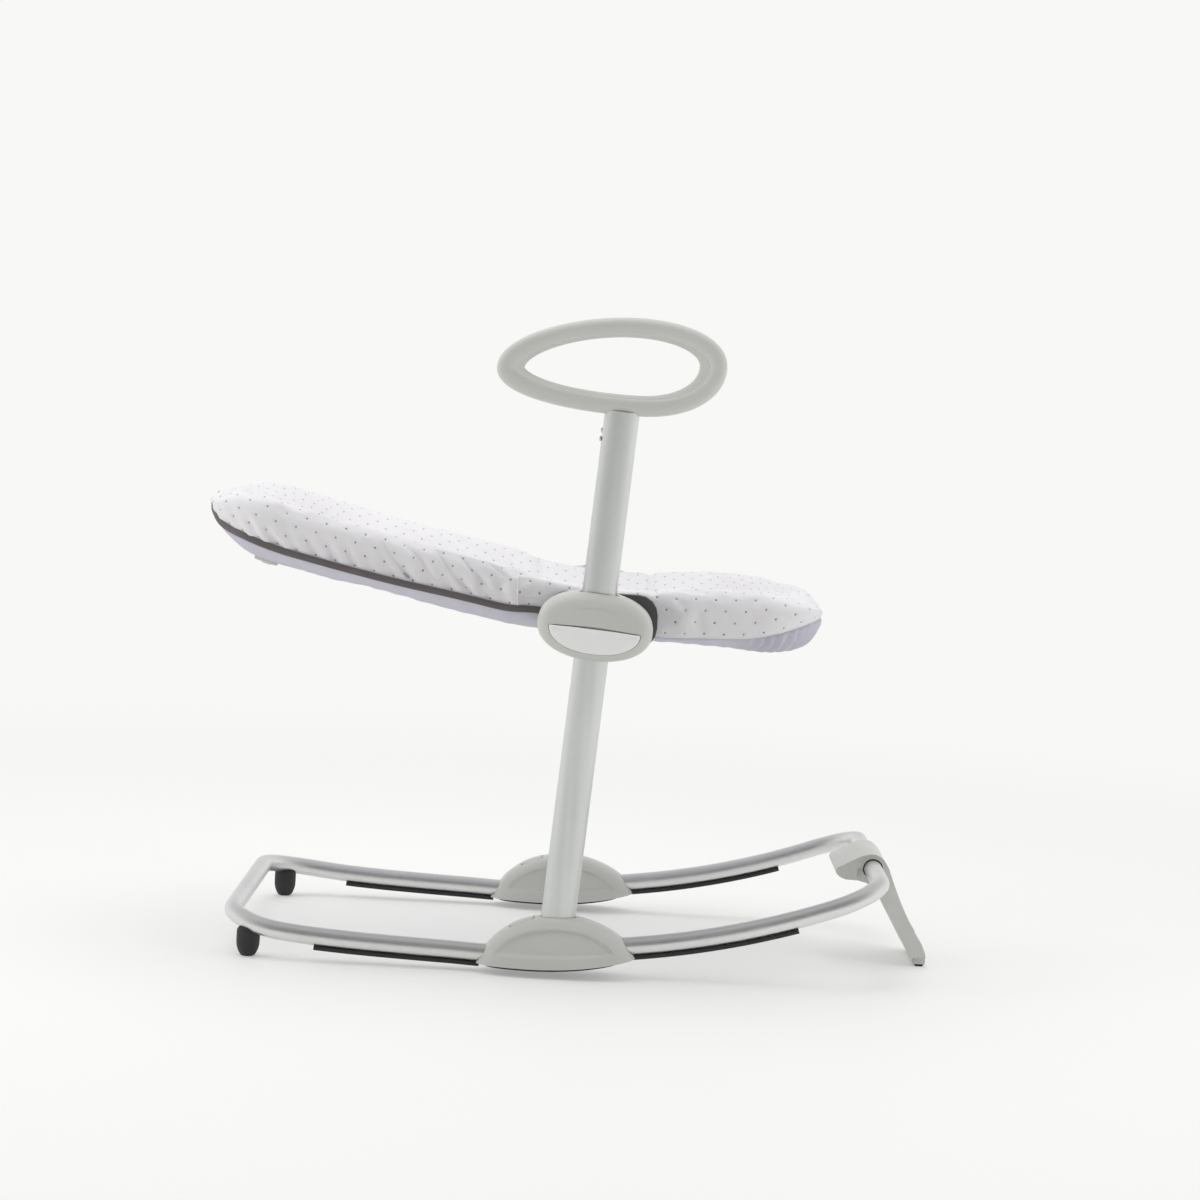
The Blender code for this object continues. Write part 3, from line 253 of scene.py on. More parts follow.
# ---------------------------------------------------------------- materials
class Look(Wiring):
    """A material, with short ways to colour it and roughen it."""

    def __init__(self, name, colour, roughness, metallic=0.0, **uniform):
        self.material = bpy.data.materials.new(name)
        self.material.use_nodes = True
        super().__init__(self.material.node_tree)
        self.shader = self.tree.nodes["Principled BSDF"]
        self.colour = colour
        uniform.update(Base_Color=(*colour, 1), Roughness=roughness, Metallic=metallic)
        for socket, value in uniform.items():
            self.shader.inputs[socket.replace("_", " ")].default_value = value
        self.places = self.node("TexCoord")

    def noise(self, scale, detail=2.0, stretch=(1, 1, 1)):
        where = self.node("Mapping", Vector=self.places.outputs["Object"], Scale=stretch)
        made = self.node("TexNoise", Vector=where.outputs[0], Scale=scale, Detail=detail)
        return made.outputs["Fac"]

    def mottle(self, scale, detail, low=0.3, high=0.7, to_low=0.0, to_high=1.0):
        """Noise with its middle range stretched over the given one."""
        return self.fit(self.noise(scale, detail), low, high, to_low, to_high)

    def tint(self, factor, first, second):
        made = self.node("Mix")
        made.data_type = "RGBA"
        self.wire(factor, made.inputs[0])
        for value, socket in ((first, made.inputs[6]), (second, made.inputs[7])):
            self.wire((*value, 1) if isinstance(value, tuple) else value, socket)
        return made.outputs[2]

    def shade(self, factor):
        """The base colour, scaled."""
        return tuple(min(1.0, c * factor) for c in self.colour)

    def clouded(self, factor, dark, light):
        """The base colour between two shades."""
        return self.tint(factor, self.shade(dark), self.shade(light))

    def woven(self, scale, dark, light, threads, depth, gap):
        """A clouded base colour, with painted shade between the threads: gap scales the base colour
        to the shade's, and depth is how much of it shows.
        """
        body = self.clouded(self.mottle(scale, 3.0), dark, light)
        # painted shade in the hollows between threads
        return self.tint(self.fit(threads, -1.0, 1.0, 0.0, depth), body, self.shade(gap))

    def paint(self, colour):
        self.wire(colour, self.shader.inputs["Base Color"])

    def rough(self, value):
        self.wire(value, self.shader.inputs["Roughness"])

    def uneven(self, scale, detail, low, high):
        """Roughness that wanders between two values."""
        self.rough(self.mottle(scale, detail, 0.3, 0.7, low, high))

    def bump(self, *layers):
        """Heights, each as (value, distance in metres)."""
        previous = None
        for value, distance in layers:
            made = self.node("Bump", Strength=1.0, Distance=distance, Height=value)
            if previous:
                self.wire(previous, made.inputs["Normal"])
            previous = made.outputs["Normal"]
        self.wire(previous, self.shader.inputs["Normal"])

    def edges(self):
        """1 on convex outer edges, where moulded() paints a highlight, 0 elsewhere."""
        return self.fit(self.node("NewGeometry").outputs["Pointiness"], 0.52, 0.60)

    def uv(self):
        made = self.node("SeparateXYZ", Vector=self.places.outputs["UV"])
        return made.outputs["X"], made.outputs["Y"]

    def waves(self, value, pitch):
        return self.math("SINE", self.math("MULTIPLY", value, 2 * math.pi / pitch))


def moulded(name, colour, roughness, grain=0.00003):
    """Moulded plastic with a fine spark-eroded grain, and a painted highlight that lightens its
    edges.
    """
    look = Look(name, colour, roughness, IOR=1.50)
    body = look.clouded(look.mottle(7.0, 3.0), 0.97, 1.02)
    # painted highlight: the colour lightened along convex edges, broken up by noise
    edge_highlight = look.math("MULTIPLY", look.edges(), look.mottle(60.0, 4.0, 0.45, 0.65))
    look.paint(look.tint(look.math("MULTIPLY", edge_highlight, 0.35), body, look.shade(1.15)))
    look.uneven(35.0, 4.0, roughness - 0.05, roughness + 0.05)
    look.bump((look.noise(1400.0), grain), (look.noise(30.0), 0.00008))
    return look.material


def satin_metal(name, colour, roughness, stretch, grain=0.00002):
    """Anodised aluminium with fine drawing lines along the tube."""
    look = Look(name, colour, roughness, 1.0)
    lines = look.noise(120.0, 4.0, stretch)
    look.paint(look.clouded(look.mottle(5.0, 3.0), 0.96, 1.03))
    streaks = look.fit(lines, 0.3, 0.7, roughness - 0.05, roughness + 0.06)
    smudges = look.mottle(14.0, 4.0, 0.45, 0.75, 0.0, 0.05)
    look.rough(look.math("ADD", streaks, smudges))
    look.bump((lines, grain), (look.noise(900.0), grain / 2))
    return look.material


def soft_rubber(name, colour):
    look = Look(name, colour, 0.62, IOR=1.45)
    dust = look.mottle(40.0, 5.0, 0.5, 0.75)
    look.paint(look.clouded(look.math("MULTIPLY", dust, 0.4), 0.9, 1.9))
    look.uneven(80.0, 3.0, 0.55, 0.72)
    look.bump((look.noise(700.0, 3.0), 0.00008))
    return look.material


def weave(look, pitch):
    """A plain weave over the piece's own length and width, as a height."""
    u, v = look.uv()
    return look.math("MULTIPLY", look.waves(u, pitch), look.waves(v, pitch))


def pin_dots(look, pitch, rows, radius):
    """Distance from the nearest of the dots, which stand in staggered rows parallel to the
    fabric's edge, and 1 inside a dot."""
    u, v = look.uv()
    row = look.math("DIVIDE", v, rows)
    shift = look.math("MULTIPLY", look.math("MODULO", look.math("FLOOR", row), 2.0), 0.5)
    column = look.math("ADD", look.math("DIVIDE", u, pitch), shift)
    total = 0.0
    for place, size in ((column, pitch), (row, rows)):
        off = look.math("SUBTRACT", look.math("FRACT", place), 0.5)
        off = look.math("MULTIPLY", off, size)
        total = look.math("ADD", look.math("MULTIPLY", off, off), total)
    apart = look.math("SQRT", total)
    return apart, look.fit(apart, radius * 1.25, radius * 0.7, interpolation="SMOOTHSTEP")


def liner_cloth():
    """Soft padded jersey, near white, printed with small grey dots."""
    look = Look("liner_cloth", (0.835, 0.820, 0.840), 0.88, Sheen_Weight=0.25,
                Sheen_Roughness=0.45)
    knit = weave(look, 0.0011)
    body = look.woven(9.0, 0.975, 1.02, knit, 0.35, 0.93)
    apart, dots = pin_dots(look, 0.0235, 0.0140, 0.00125)
    ink = look.math("MULTIPLY", dots, look.mottle(55.0, 2.0, 0.25, 0.6, 0.45, 0.95))
    look.paint(look.tint(ink, body, (0.175, 0.165, 0.185)))
    dimple = look.fit(apart, 0.0, 0.0042, -1.0, 0.0, "SMOOTHSTEP")
    look.uneven(200.0, 2.0, 0.82, 0.95)
    look.bump((dimple, 0.0007), (look.noise(75.0, 3.0), 0.0010), (knit, 0.00010),
              (look.noise(1800.0), 0.00008))
    return look.material


def lining_cloth():
    """Thin lavender-grey cloth of the underside."""
    look = Look("lining_cloth", (0.62, 0.605, 0.690), 0.85, Sheen_Weight=0.2,
                Sheen_Roughness=0.4)
    threads = weave(look, 0.0009)
    look.paint(look.woven(12.0, 0.94, 1.05, threads, 0.4, 0.88))
    look.uneven(150.0, 2.0, 0.78, 0.92)
    look.bump((look.noise(60.0, 4.0), 0.0008), (threads, 0.00012))
    return look.material


def tape_cloth():
    """Ribbed grosgrain binding."""
    look = Look("tape_cloth", (0.135, 0.118, 0.120), 0.66, Sheen_Weight=0.15)
    ribs = look.waves(look.uv()[0], 0.0009)
    look.paint(look.woven(30.0, 0.88, 1.15, ribs, 0.5, 0.72))
    look.uneven(90.0, 3.0, 0.58, 0.74)
    look.bump((ribs, 0.00012), (look.noise(500.0), 0.00008))
    return look.material


def webbing_cloth():
    """Woven nylon strap with ribs that slant both ways from its middle."""
    look = Look("webbing_cloth", (0.235, 0.232, 0.245), 0.70, Sheen_Weight=0.15)
    u, v = look.uv()
    ribs = look.waves(look.math("ADD", look.math("ABSOLUTE", v), u), 0.0016)
    look.paint(look.woven(40.0, 0.9, 1.1, ribs, 0.5, 0.7))
    look.uneven(120.0, 2.0, 0.62, 0.78)
    look.bump((ribs, 0.0002), (look.noise(900.0), 0.00008))
    return look.material


def materials():
    return {
        "shell": moulded("shell_plastic", (0.555, 0.560, 0.528), 0.38),
        "button": moulded("button_plastic", (0.84, 0.85, 0.84), 0.33),
        "dark": moulded("dark_plastic", (0.060, 0.062, 0.066), 0.46, 0.00006),
        "tube": satin_metal("base_tube_metal", (0.76, 0.765, 0.755), 0.38, (1, 1, 1), 0.000006),
        "post": satin_metal("post_metal", (0.69, 0.705, 0.69), 0.36, (1, 1, 0.02)),
        "steel": satin_metal("steel", (0.55, 0.55, 0.56), 0.30, (1, 1, 1)),
        "rubber": soft_rubber("rubber", (0.030, 0.030, 0.032)),
        "liner": liner_cloth(),
        "lining": lining_cloth(),
        "tape": tape_cloth(),
        "webbing": webbing_cloth(),
    }


# ---------------------------------------------------------------- mesh helpers
LOOKS = materials()


def add(name, mesh, look, body, replaces=(), angle=40):
    """A finished piece: its look, the body it rides on and what it stands for."""
    mesh.transform(Matrix.Translation(TO_FRAME))
    obj = placed(name, mesh)
    mesh.materials.clear()
    mesh.materials.append(LOOKS[look])
    mesh.shade_smooth()
    mesh.set_sharp_from_angle(angle=math.radians(angle))
    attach(obj, body)
    if replaces:
        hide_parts(*replaces)
    return obj


def mesh_of(bm, name):
    mesh = bpy.data.meshes.new(name)
    bm.to_mesh(mesh)
    bm.free()
    return mesh


def mesh_from(bm, name, weld=0.00001):
    """The finished mesh, with points closer than weld made one and its normals outwards."""
    if weld:
        bmesh.ops.remove_doubles(bm, verts=bm.verts, dist=weld)
    bmesh.ops.recalc_face_normals(bm, faces=bm.faces)
    return mesh_of(bm, name)


def skin(rows, caps=True, uvs=None):
    """A skin over rows of points, each row a closed ring."""
    bm = bmesh.new()
    layer = bm.loops.layers.uv.new("UVMap")
    verts = [[bm.verts.new(p) for p in row] for row in rows]
    count = len(rows[0])
    for r in range(len(rows) - 1):
        for i in range(count):
            j = (i + 1) % count
            face = bm.faces.new((verts[r][i], verts[r][j], verts[r + 1][j], verts[r + 1][i]))
            if uvs:
                spots = ((r, i), (r, i + 1), (r + 1, i + 1), (r + 1, i))
                for loop, spot in zip(face.loops, spots):
                    loop[layer].uv = uvs(*spot)
    if caps:
        bm.faces.new(verts[0])
        bm.faces.new(verts[-1])
    return bm


def grid_mesh(name, rows, caps=True, uvs=None, weld=0.00001):
    return mesh_from(skin(rows, caps, uvs), name, weld)


def sweep_mesh(name, path, section, up, closed=False):
    """A section (side, up) swept along path."""
    count = len(path)
    rows, lengths = [], [0.0]
    for i in range(1, count + (1 if closed else 0)):
        lengths.append(lengths[-1] + (path[i % count] - path[i - 1]).length)
    for i, point in enumerate(path):
        if closed:
            ahead = path[(i + 1) % count] - path[i - 1]
        else:
            ahead = path[min(i + 1, count - 1)] - path[max(i - 1, 0)]
        side = ahead.cross(Vector(up)).normalized()
        normal = side.cross(ahead).normalized()
        rows.append([point + side * a + normal * b for a, b in section])
    girth = [0.0]
    for i in range(len(section)):
        girth.append(girth[-1] + math.dist(section[i], section[(i + 1) % len(section)]))
    if closed:
        rows.append(rows[0])
    return grid_mesh(name, rows, caps=not closed, uvs=lambda r, i: (lengths[r], girth[i]))


def oval(half, count=64, power=2.0, start=0.0, stop=2 * math.pi):
    """Points of a superellipse, from one angle to another."""
    whole = stop - start > 2 * math.pi - 0.001
    points = []
    for i in range(count if whole else count + 1):
        angle = start + (stop - start) * i / count
        c, s = math.cos(angle), math.sin(angle)
        points.append((math.copysign(half[0] * abs(c) ** (2 / power), c),
                       math.copysign(half[1] * abs(s) ** (2 / power), s)))
    return points


def frame_at(centre, x_axis, z_axis):
    """A matrix whose local X and Z point along the given directions."""
    z_dir = Vector(z_axis).normalized()
    x_dir = Vector(x_axis)
    x_dir = (x_dir - z_dir * x_dir.dot(z_dir)).normalized()
    turn = Matrix((x_dir, z_dir.cross(x_dir), z_dir)).transposed().to_4x4()
    return Matrix.Translation(centre) @ turn


def cutter_box(name, size, place, bevel):
    """A block with rounded edges."""
    bm = bmesh.new()
    bmesh.ops.create_cube(bm, size=1.0)
    bmesh.ops.scale(bm, vec=size, verts=bm.verts)
    bmesh.ops.bevel(bm, geom=bm.edges, offset=bevel, segments=4, affect="EDGES", profile=0.5)
    bm.transform(place)
    return mesh_from(bm, name)


def baked(obj):
    """The object's mesh with its modifiers applied. The object goes."""
    graph = bpy.context.evaluated_depsgraph_get()
    mesh = bpy.data.meshes.new_from_object(obj.evaluated_get(graph))
    bpy.data.objects.remove(obj)
    return mesh


def carved(mesh, cutters):
    """The mesh with each cutter taken away."""
    holder = placed("carving", mesh)
    tools = [placed("cutter", cutter) for cutter in cutters]
    for tool in tools:
        mod = holder.modifiers.new("cut", "BOOLEAN")
        mod.operation = "DIFFERENCE"
        mod.object = tool
    result = baked(holder)
    for tool in tools:
        bpy.data.objects.remove(tool)
    return result


# ---------------------------------------------------------------- base
FRONT_TUBE_LINE = [(-0.400, 0.0500), (-0.360, 0.0400), (-0.310, 0.0330), (-0.250, 0.0286),
                   (-0.180, 0.0256), (-0.120, 0.0236), (-0.0855, 0.0222), (-0.031, 0.0222)]


def front_z(x):
    """Axis height of the front base tube."""
    return along(FRONT_TUBE_LINE, x)


def rear_z(x):
    """Axis height of the rear base tube."""
    reach = x + 0.0665
    return 0.0301 + 0.340 * reach ** 2 + 0.2105 * reach ** 3


def bent_path(sign, inner_x, bend_start, radius, height):
    """A U seen from above: in from one shoe, round two bends, and back to the other."""
    half = [(inner_x + (bend_start - inner_x) * i / 40, TRACK) for i in range(41)]
    for i in range(1, 21):
        turn = math.pi / 2 * i / 20
        half.append((bend_start + sign * radius * math.sin(turn),
                     TRACK - radius * (1 - math.cos(turn))))
    points = [Vector((x, y, height(x))) for x, y in half]
    return points + [Vector((p.x, -p.y, p.z)) for p in reversed(points)]


FRONT_BEND = (-1, -0.031, -0.3225, 0.070, front_z)
REAR_BEND = (1, 0.033, 0.3305, 0.060, rear_z)


def base_tubes():
    ring = oval((TUBE_RADIUS, TUBE_RADIUS), 32)
    for name, bend in (("front_base_tube", FRONT_BEND), ("rear_base_tube", REAR_BEND)):
        mesh = sweep_mesh(name + "_bar", bent_path(*bend), ring, (0, 0, 1))
        add(name + "_bar", mesh, "tube", "base", [name])


def rocker_strips():
    """Rubber strips with rounded ends, pressed under the tubes and into the shoes."""
    half_width, thickness, tuck, count = 0.0068, 0.0047, 0.006, 48
    section = [(x, y - TUBE_RADIUS - thickness / 2)
               for x, y in oval((half_width, thickness / 2 + 0.0006), 24, 4.0)]
    for label, side in SIDES:
        for end, height in (("front", front_z), ("rear", rear_z)):
            node = "%s_rocker_strip_%s" % (end, label)
            low, high = box(node)
            start = low.x - (tuck if end == "rear" else 0)
            stop = high.x + (tuck if end == "front" else 0)
            stations = [start + (stop - start) * i / count for i in range(count + 1)]
            path = [Vector((x, side * TRACK, height(x))) for x in stations]
            mesh = sweep_mesh(node + "_rubber", path, section, (0, 0, 1))
            add(node + "_rubber", mesh, "rubber", "base", [node])


def turned_mesh(profile, name, place, steps=48):
    """A profile (radius, height) turned about local Z."""
    turns = [2 * math.pi * i / steps for i in range(steps)]
    return grid_mesh(name, [[place @ Vector((radius * math.cos(a), radius * math.sin(a), height))
                             for a in turns] for radius, height in profile])


def front_feet():
    for node, _ in pairs("front_foot_"):
        spot = middle(node)
        top = front_z(spot.x) - 0.0075
        profile = [(0.0108, top), (0.0124, top - 0.0004), (0.0134, top - 0.0016),
                   (0.0139, top - 0.0036), (0.0140, top - 0.0080), (0.0140, 0.0180),
                   (0.0137, 0.0135), (0.0129, 0.0098), (0.0117, 0.0064), (0.0103, 0.0036),
                   (0.0086, 0.0012), (0.0068, 0.0002), (0.0010, 0.0)]
        mesh = turned_mesh(profile, node + "_cup", Matrix.Translation((spot.x, spot.y, 0)))
        add(node + "_cup", mesh, "rubber", "base", [node])


SHOE_X, SHOE_FLOOR = 0.0025, 0.0108
SHOE_HALF = (0.0905, 0.0315, 0.0615)
SHOE_PLAN_POWER = 2.6
HEM_FLARE, HEM_HEIGHT = 0.055, 0.30
PANEL_HALF, PANEL_DEPTH = (0.0760, 0.0450), 0.0034
RELEASE_HALF = (0.0151, 0.0113)
RELEASE_SLOPE = math.radians(21.1066)


def shoe_point(u, v, shrink):
    """A point of the shoe's skin: u goes round, v climbs from the hem to the top."""
    c, s = math.cos(u), math.sin(u)
    level, reach = math.sin(v), math.cos(v)
    reach *= 1 + HEM_FLARE * max(0.0, 1 - level / HEM_HEIGHT) ** 1.7
    x = (SHOE_HALF[0] - shrink) * reach * math.copysign(abs(c) ** (2 / SHOE_PLAN_POWER), c)
    wide = (SHOE_HALF[1] - shrink) * math.cos(v) ** 0.4 * reach / math.cos(v)
    y = wide * math.copysign(abs(s) ** (2 / SHOE_PLAN_POWER), s)
    lift = 0.91 * max(0.0, x + 0.0325) ** 2 * (1 - level)
    z = (SHOE_HALF[2] - shrink) * level + lift
    arch = (x / PANEL_HALF[0]) ** 2 + ((z - 0.004) / PANEL_HALF[1]) ** 2
    foot = lift + 0.0125
    press = (1 - smooth(0.88, 1.0, arch)) * smooth(foot, foot + 0.005, z) * smooth(0.3, 0.9, abs(s))
    return Vector((x + 0.003 * level, y - math.copysign(PANEL_DEPTH * press, s), z))


def shoes():
    """Domed covers with a flared hem and a pressed side panel, open where the tubes, the post
    and the release button go in."""
    steps, around, wall, gap = 60, 160, 0.0025, 0.0008
    climbs = [math.pi / 2 * (k / steps) ** 0.95 * 0.9999 for k in range(steps + 1)]
    turns = [2 * math.pi * i / around for i in range(around)]
    skins = [(0.0, v) for v in reversed(climbs)] + [(wall, v) for v in climbs]
    tube_way = oval((TUBE_RADIUS + gap, TUBE_RADIUS + gap), 32)
    collar = oval((POST_HALF[1] + gap, POST_HALF[0] + gap), 48)
    window = (2 * RELEASE_HALF[0] + 0.0012, 2 * RELEASE_HALF[1] + 0.0012, 0.03)
    reach = POST_MIDDLE - POST_AXIS * (POST_LENGTH / 2 + 0.001)
    for node, side in pairs("shoe_cover_"):
        foot = Vector((SHOE_X, side * TRACK, SHOE_FLOOR))
        rows = [[foot + shoe_point(u, v, shrink) for u in turns] for shrink, v in skins]
        shell = grid_mesh(node + "_shell", rows, weld=0)
        cutters = [cutter_box("window", window, release_place(side), 0.003)]
        cutters += [sweep_mesh("way", bent_path(*bend), tube_way, (0, 0, 1))
                    for bend in (FRONT_BEND, REAR_BEND)]
        post_path = [Vector((reach.x, side * TRACK, reach.z)) + POST_AXIS * d for d in (0, 0.12)]
        cutters.append(sweep_mesh("collar", post_path, collar, ACROSS_POST))
        add(node + "_shell", carved(shell, cutters), "shell", "base", [node],
            angle=32)

def release_place(side):
    """The release button's place on the shoe's slope, local Z pointing out."""
    slope = Vector((math.cos(RELEASE_SLOPE), 0, math.sin(RELEASE_SLOPE)))
    out = Vector((-slope.z, 0, slope.x))
    return frame_at(middle("post_release_button_" + ("left" if side > 0 else "right")), slope, out)


def release_buttons():
    """Pads with rounded corners that follow the dome."""
    wide, tall = RELEASE_HALF
    for node, side in pairs("post_release_button_"):
        place = release_place(side)
        rows = []
        for share, height in ((0.80, -0.0034), (1.0, -0.0033), (1.0, 0.0022), (0.985, 0.0029),
                              (0.95, 0.0033), (0.80, 0.0035), (0.5, 0.0036), (0.02, 0.0036)):
            ring = []
            for x, y in scaled(oval(RELEASE_HALF, 64, 6.0), share, share):
                bow = 0.0009 * (1 - (x / wide) ** 2) - 0.0016 * (y / tall) ** 2
                ring.append(place @ Vector((x, y, height + max(-0.0012, bow))))
            rows.append(ring)
        add(node + "_pad", grid_mesh(node + "_pad", rows), "shell", node, [node])


# ---------------------------------------------------------------- posts and handles
def posts():
    """Oval tubes with a lid on top and latch holes in their front faces."""
    count, wall, lid_depth = 60, 0.0018, 0.0012
    outer = oval(POST_HALF[::-1], 56)
    inner = oval((POST_HALF[1] - wall, POST_HALF[0] - wall), 56)
    plug = scaled(inner, 0.05, 0.05)
    low, top = -POST_LENGTH / 2, POST_LENGTH / 2 + 0.0055
    for node, side in pairs("post_"):
        centre = Vector((POST_MIDDLE.x, side * TRACK, POST_MIDDLE.z))
        steps = [centre + POST_AXIS * (low + (top - low) * i / count) for i in range(count + 1)]
        lid = steps[-1] - POST_AXIS * lid_depth
        rows = []
        for ring, order in ((outer, steps), (plug, [steps[-1], lid]), (inner, [lid] + steps[-2::-1])):
            for spot in order:
                rows.append([spot + Vector((0, a, 0)) + ACROSS_POST * b for a, b in ring])
        rows.append(rows[0])
        tube = grid_mesh(node + "_tube", rows, caps=False)
        face = on_post(HUB.z, side) - ACROSS_POST * POST_HALF[0]
        holes = []
        for step in (-1, 0, 1, 2):
            spot = face + POST_AXIS * (LATCH_RISE + step * LATCH_PITCH)
            place = frame_at(spot, ACROSS_POST, POST_AXIS)
            holes.append(cutter_box("hole", (0.012, 0.0095, 0.0140), place, 0.0016))
        add(node + "_tube", carved(tube, holes), "post", "base", [node])


def on_post(height, side):
    """The point of a post's axis at a height."""
    lean = (height - POST_MIDDLE.z) * POST_AXIS.x / POST_AXIS.z
    return Vector((POST_MIDDLE.x + lean, side * TRACK, height))


HANDLE_RING = [((-0.0930, 0.7195), (0, -0.020), (0, 0.027)),
               ((0.0585, 0.7755), (-0.075, 0), (0.055, 0)),
               ((0.1570, 0.7330), (0, 0.026), (0, -0.030)),
               ((0.0710, 0.6812), (0.050, 0), (-0.095, 0))]


def bezier_ring(ring, steps):
    """Points of a closed Bezier given as (point, handle before, handle after)."""
    points = []
    for i, (start, _, after) in enumerate(ring):
        end, before, _ = ring[(i + 1) % len(ring)]
        p0, p3 = Vector(start), Vector(end)
        p1, p2 = p0 + Vector(after), p3 + Vector(before)
        for k in range(steps):
            t = k / steps
            points.append(p0 * (1 - t) ** 3 + p1 * 3 * t * (1 - t) ** 2
                          + p2 * 3 * t * t * (1 - t) + p3 * t ** 3)
    return points


def handle_section(outwards):
    """Half of the bar's section: a full outer side, and a lipped inner band."""
    bar, depth, seam = 0.0106, 0.0130, 0.00018
    points = []
    for i in range(15):
        angle = math.pi * 0.80 * i / 14
        c, s = math.cos(angle), math.sin(angle)
        points.append((math.copysign(bar * abs(c) ** 0.85, c), max(seam, depth * s ** 0.85)))
    points += [(-0.0091, 0.0074), (-0.0088, 0.0068), (-0.0080, 0.0064), (-0.0079, 0.0025),
               (-0.0079, seam), (-0.0060, seam), (0.0060, seam)]
    return [(a, outwards * b) for a, b in points]


def handles():
    flat = bezier_ring(HANDLE_RING, 28)
    for label, side in SIDES:
        path = [Vector((p.x, side * TRACK, p.y)) for p in flat]
        for part, outwards in (("outer", side), ("inner", -side)):
            node = "handle_%s_%s" % (part, label)
            mesh = sweep_mesh(node + "_grip", path, handle_section(outwards), (0, 1, 0), True)
            add(node + "_grip", mesh, "shell", "base", [node], angle=38)


# ---------------------------------------------------------------- carriages
CARRIAGE_HALF = (0.0685, 0.0405)
BUTTON_HALF = (0.0540, 0.0285)


def hub_turn(side):
    """Local X across the post, local Y up along it, local Z outwards."""
    centre = Vector((HUB.x, 0, HUB.z))
    turn = Matrix((ACROSS_POST, POST_AXIS, Vector((0, side, 0)))).transposed().to_4x4()
    return Matrix.Translation(centre) @ turn


def half_moon(extra):
    """The lower half of an oval with softened ends, as a closed outline, grown by extra."""
    half = (BUTTON_HALF[0] + extra, BUTTON_HALF[1] + extra)
    drop, rise, lid = 0.0025, 0.0012, 16
    top = extra - drop
    points = [(x, min(z - drop, top)) for x, z in oval(half, 48, 2.15, math.pi, 2 * math.pi)]
    for i in range(1, lid):
        points.append((half[0] * (1 - 2 * i / lid), top + rise * math.sin(math.pi * i / lid)))
    return points


def inset(points, amount):
    """The outline moved inwards by amount, corner by corner."""
    moved = []
    for i, here in enumerate(points):
        edge = (Vector(points[(i + 1) % len(points)]) - Vector(points[i - 1])).normalized()
        moved.append(tuple(Vector(here) + Vector((-edge.y, edge.x)) * amount))
    return moved


def scaled(outline, wide, tall, centre=(0.0, 0.0)):
    """The outline drawn towards centre, to a share of its width and of its height."""
    mid_x, mid_z = centre
    return [(mid_x + (x - mid_x) * wide, mid_z + (z - mid_z) * tall) for x, z in outline]


def loft(name, place, layers):
    """A solid over flat outlines, each given with its height along local Z."""
    return grid_mesh(name, [[place @ Vector((x, z, height)) for x, z in outline]
                            for outline, height in layers])


def carriages():
    """Two oval shells on each post, parted at the post's middle, with the button's pocket in
    the outer one and the pivot's hole in the inner one."""
    outer_face, crown, inner_face = 0.2512, 0.0026, 0.1920
    outer = [(0.0, 0.22035), (0.0, 0.2340), (0.0006, 0.2380), (0.0022, 0.2420),
             (0.0050, 0.2458), (0.0090, 0.2488), (0.0140, 0.2507), (0.0200, outer_face)]
    inner = [(0.0, 0.21965), (0.0, 0.1960), (0.0008, 0.1938), (0.0026, 0.1924),
             (0.006, inner_face), (0.035, inner_face)]
    ring = oval(CARRIAGE_HALF, 112, 2.2)

    def layers(profile):
        return [(scaled(ring, *(1 - amount / half for half in CARRIAGE_HALF)), height)
                for amount, height in profile]

    domed = layers(outer) + [(scaled(ring, share, share),
                              outer_face + crown * (1 - (share / 0.6) ** 2))
                             for share in (0.55, 0.35, 0.18, 0.02)]
    pocket = [(half_moon(0.0007), 0.2405), (half_moon(0.0007), 0.27)]
    lip = [(half_moon(0.0004), 0.2494), (half_moon(0.0042), 0.2560)]
    for label, side in SIDES:
        place = hub_turn(side)
        bore = [on_post(HUB.z, side) + POST_AXIS * d for d in (-0.06, 0.06)]
        pivot = frame_at(Vector((HUB.x, side * inner_face, HUB.z)), (1, 0, 0), (0, side, 0))
        for node, skin, cutters in (
                ("carriage_outer_" + label, domed,
                 [loft("pocket", place, pocket), loft("lip", place, lip)]),
                ("carriage_inner_" + label, layers(inner),
                 [turned_mesh([(0.0063, -0.002), (0.0063, 0.02)], "pivot", pivot, 32)])):
            cutters.append(sweep_mesh("bore", bore, oval(BORE_HALF, 48), ACROSS_POST))
            shell = carved(loft(node + "_shell", place, skin), cutters)
            add(node + "_shell", shell, "shell", "carriage", [node], angle=30)


def height_buttons():
    """Half-moon buttons, softly crowned."""
    outline = half_moon(0.0)
    centre = (sum(x for x, _ in outline) / len(outline), -0.0135)
    layers = [(inset(outline, amount), height) for amount, height in
              ((0.001, 0.2456), (0.0, 0.2459), (0.0, 0.2524), (0.0003, 0.2532),
               (0.0010, 0.2538), (0.0022, 0.25415))]
    layers += [(scaled(inset(outline, 0.0022), share, share, centre), height) for share, height in
               ((0.82, 0.25435), (0.6, 0.25445), (0.3, 0.2545), (0.02, 0.2545))]
    for node, side in pairs("height_button_"):
        mesh = loft(node + "_cap", hub_turn(side), layers)
        add(node + "_cap", mesh, "button", node, [node])


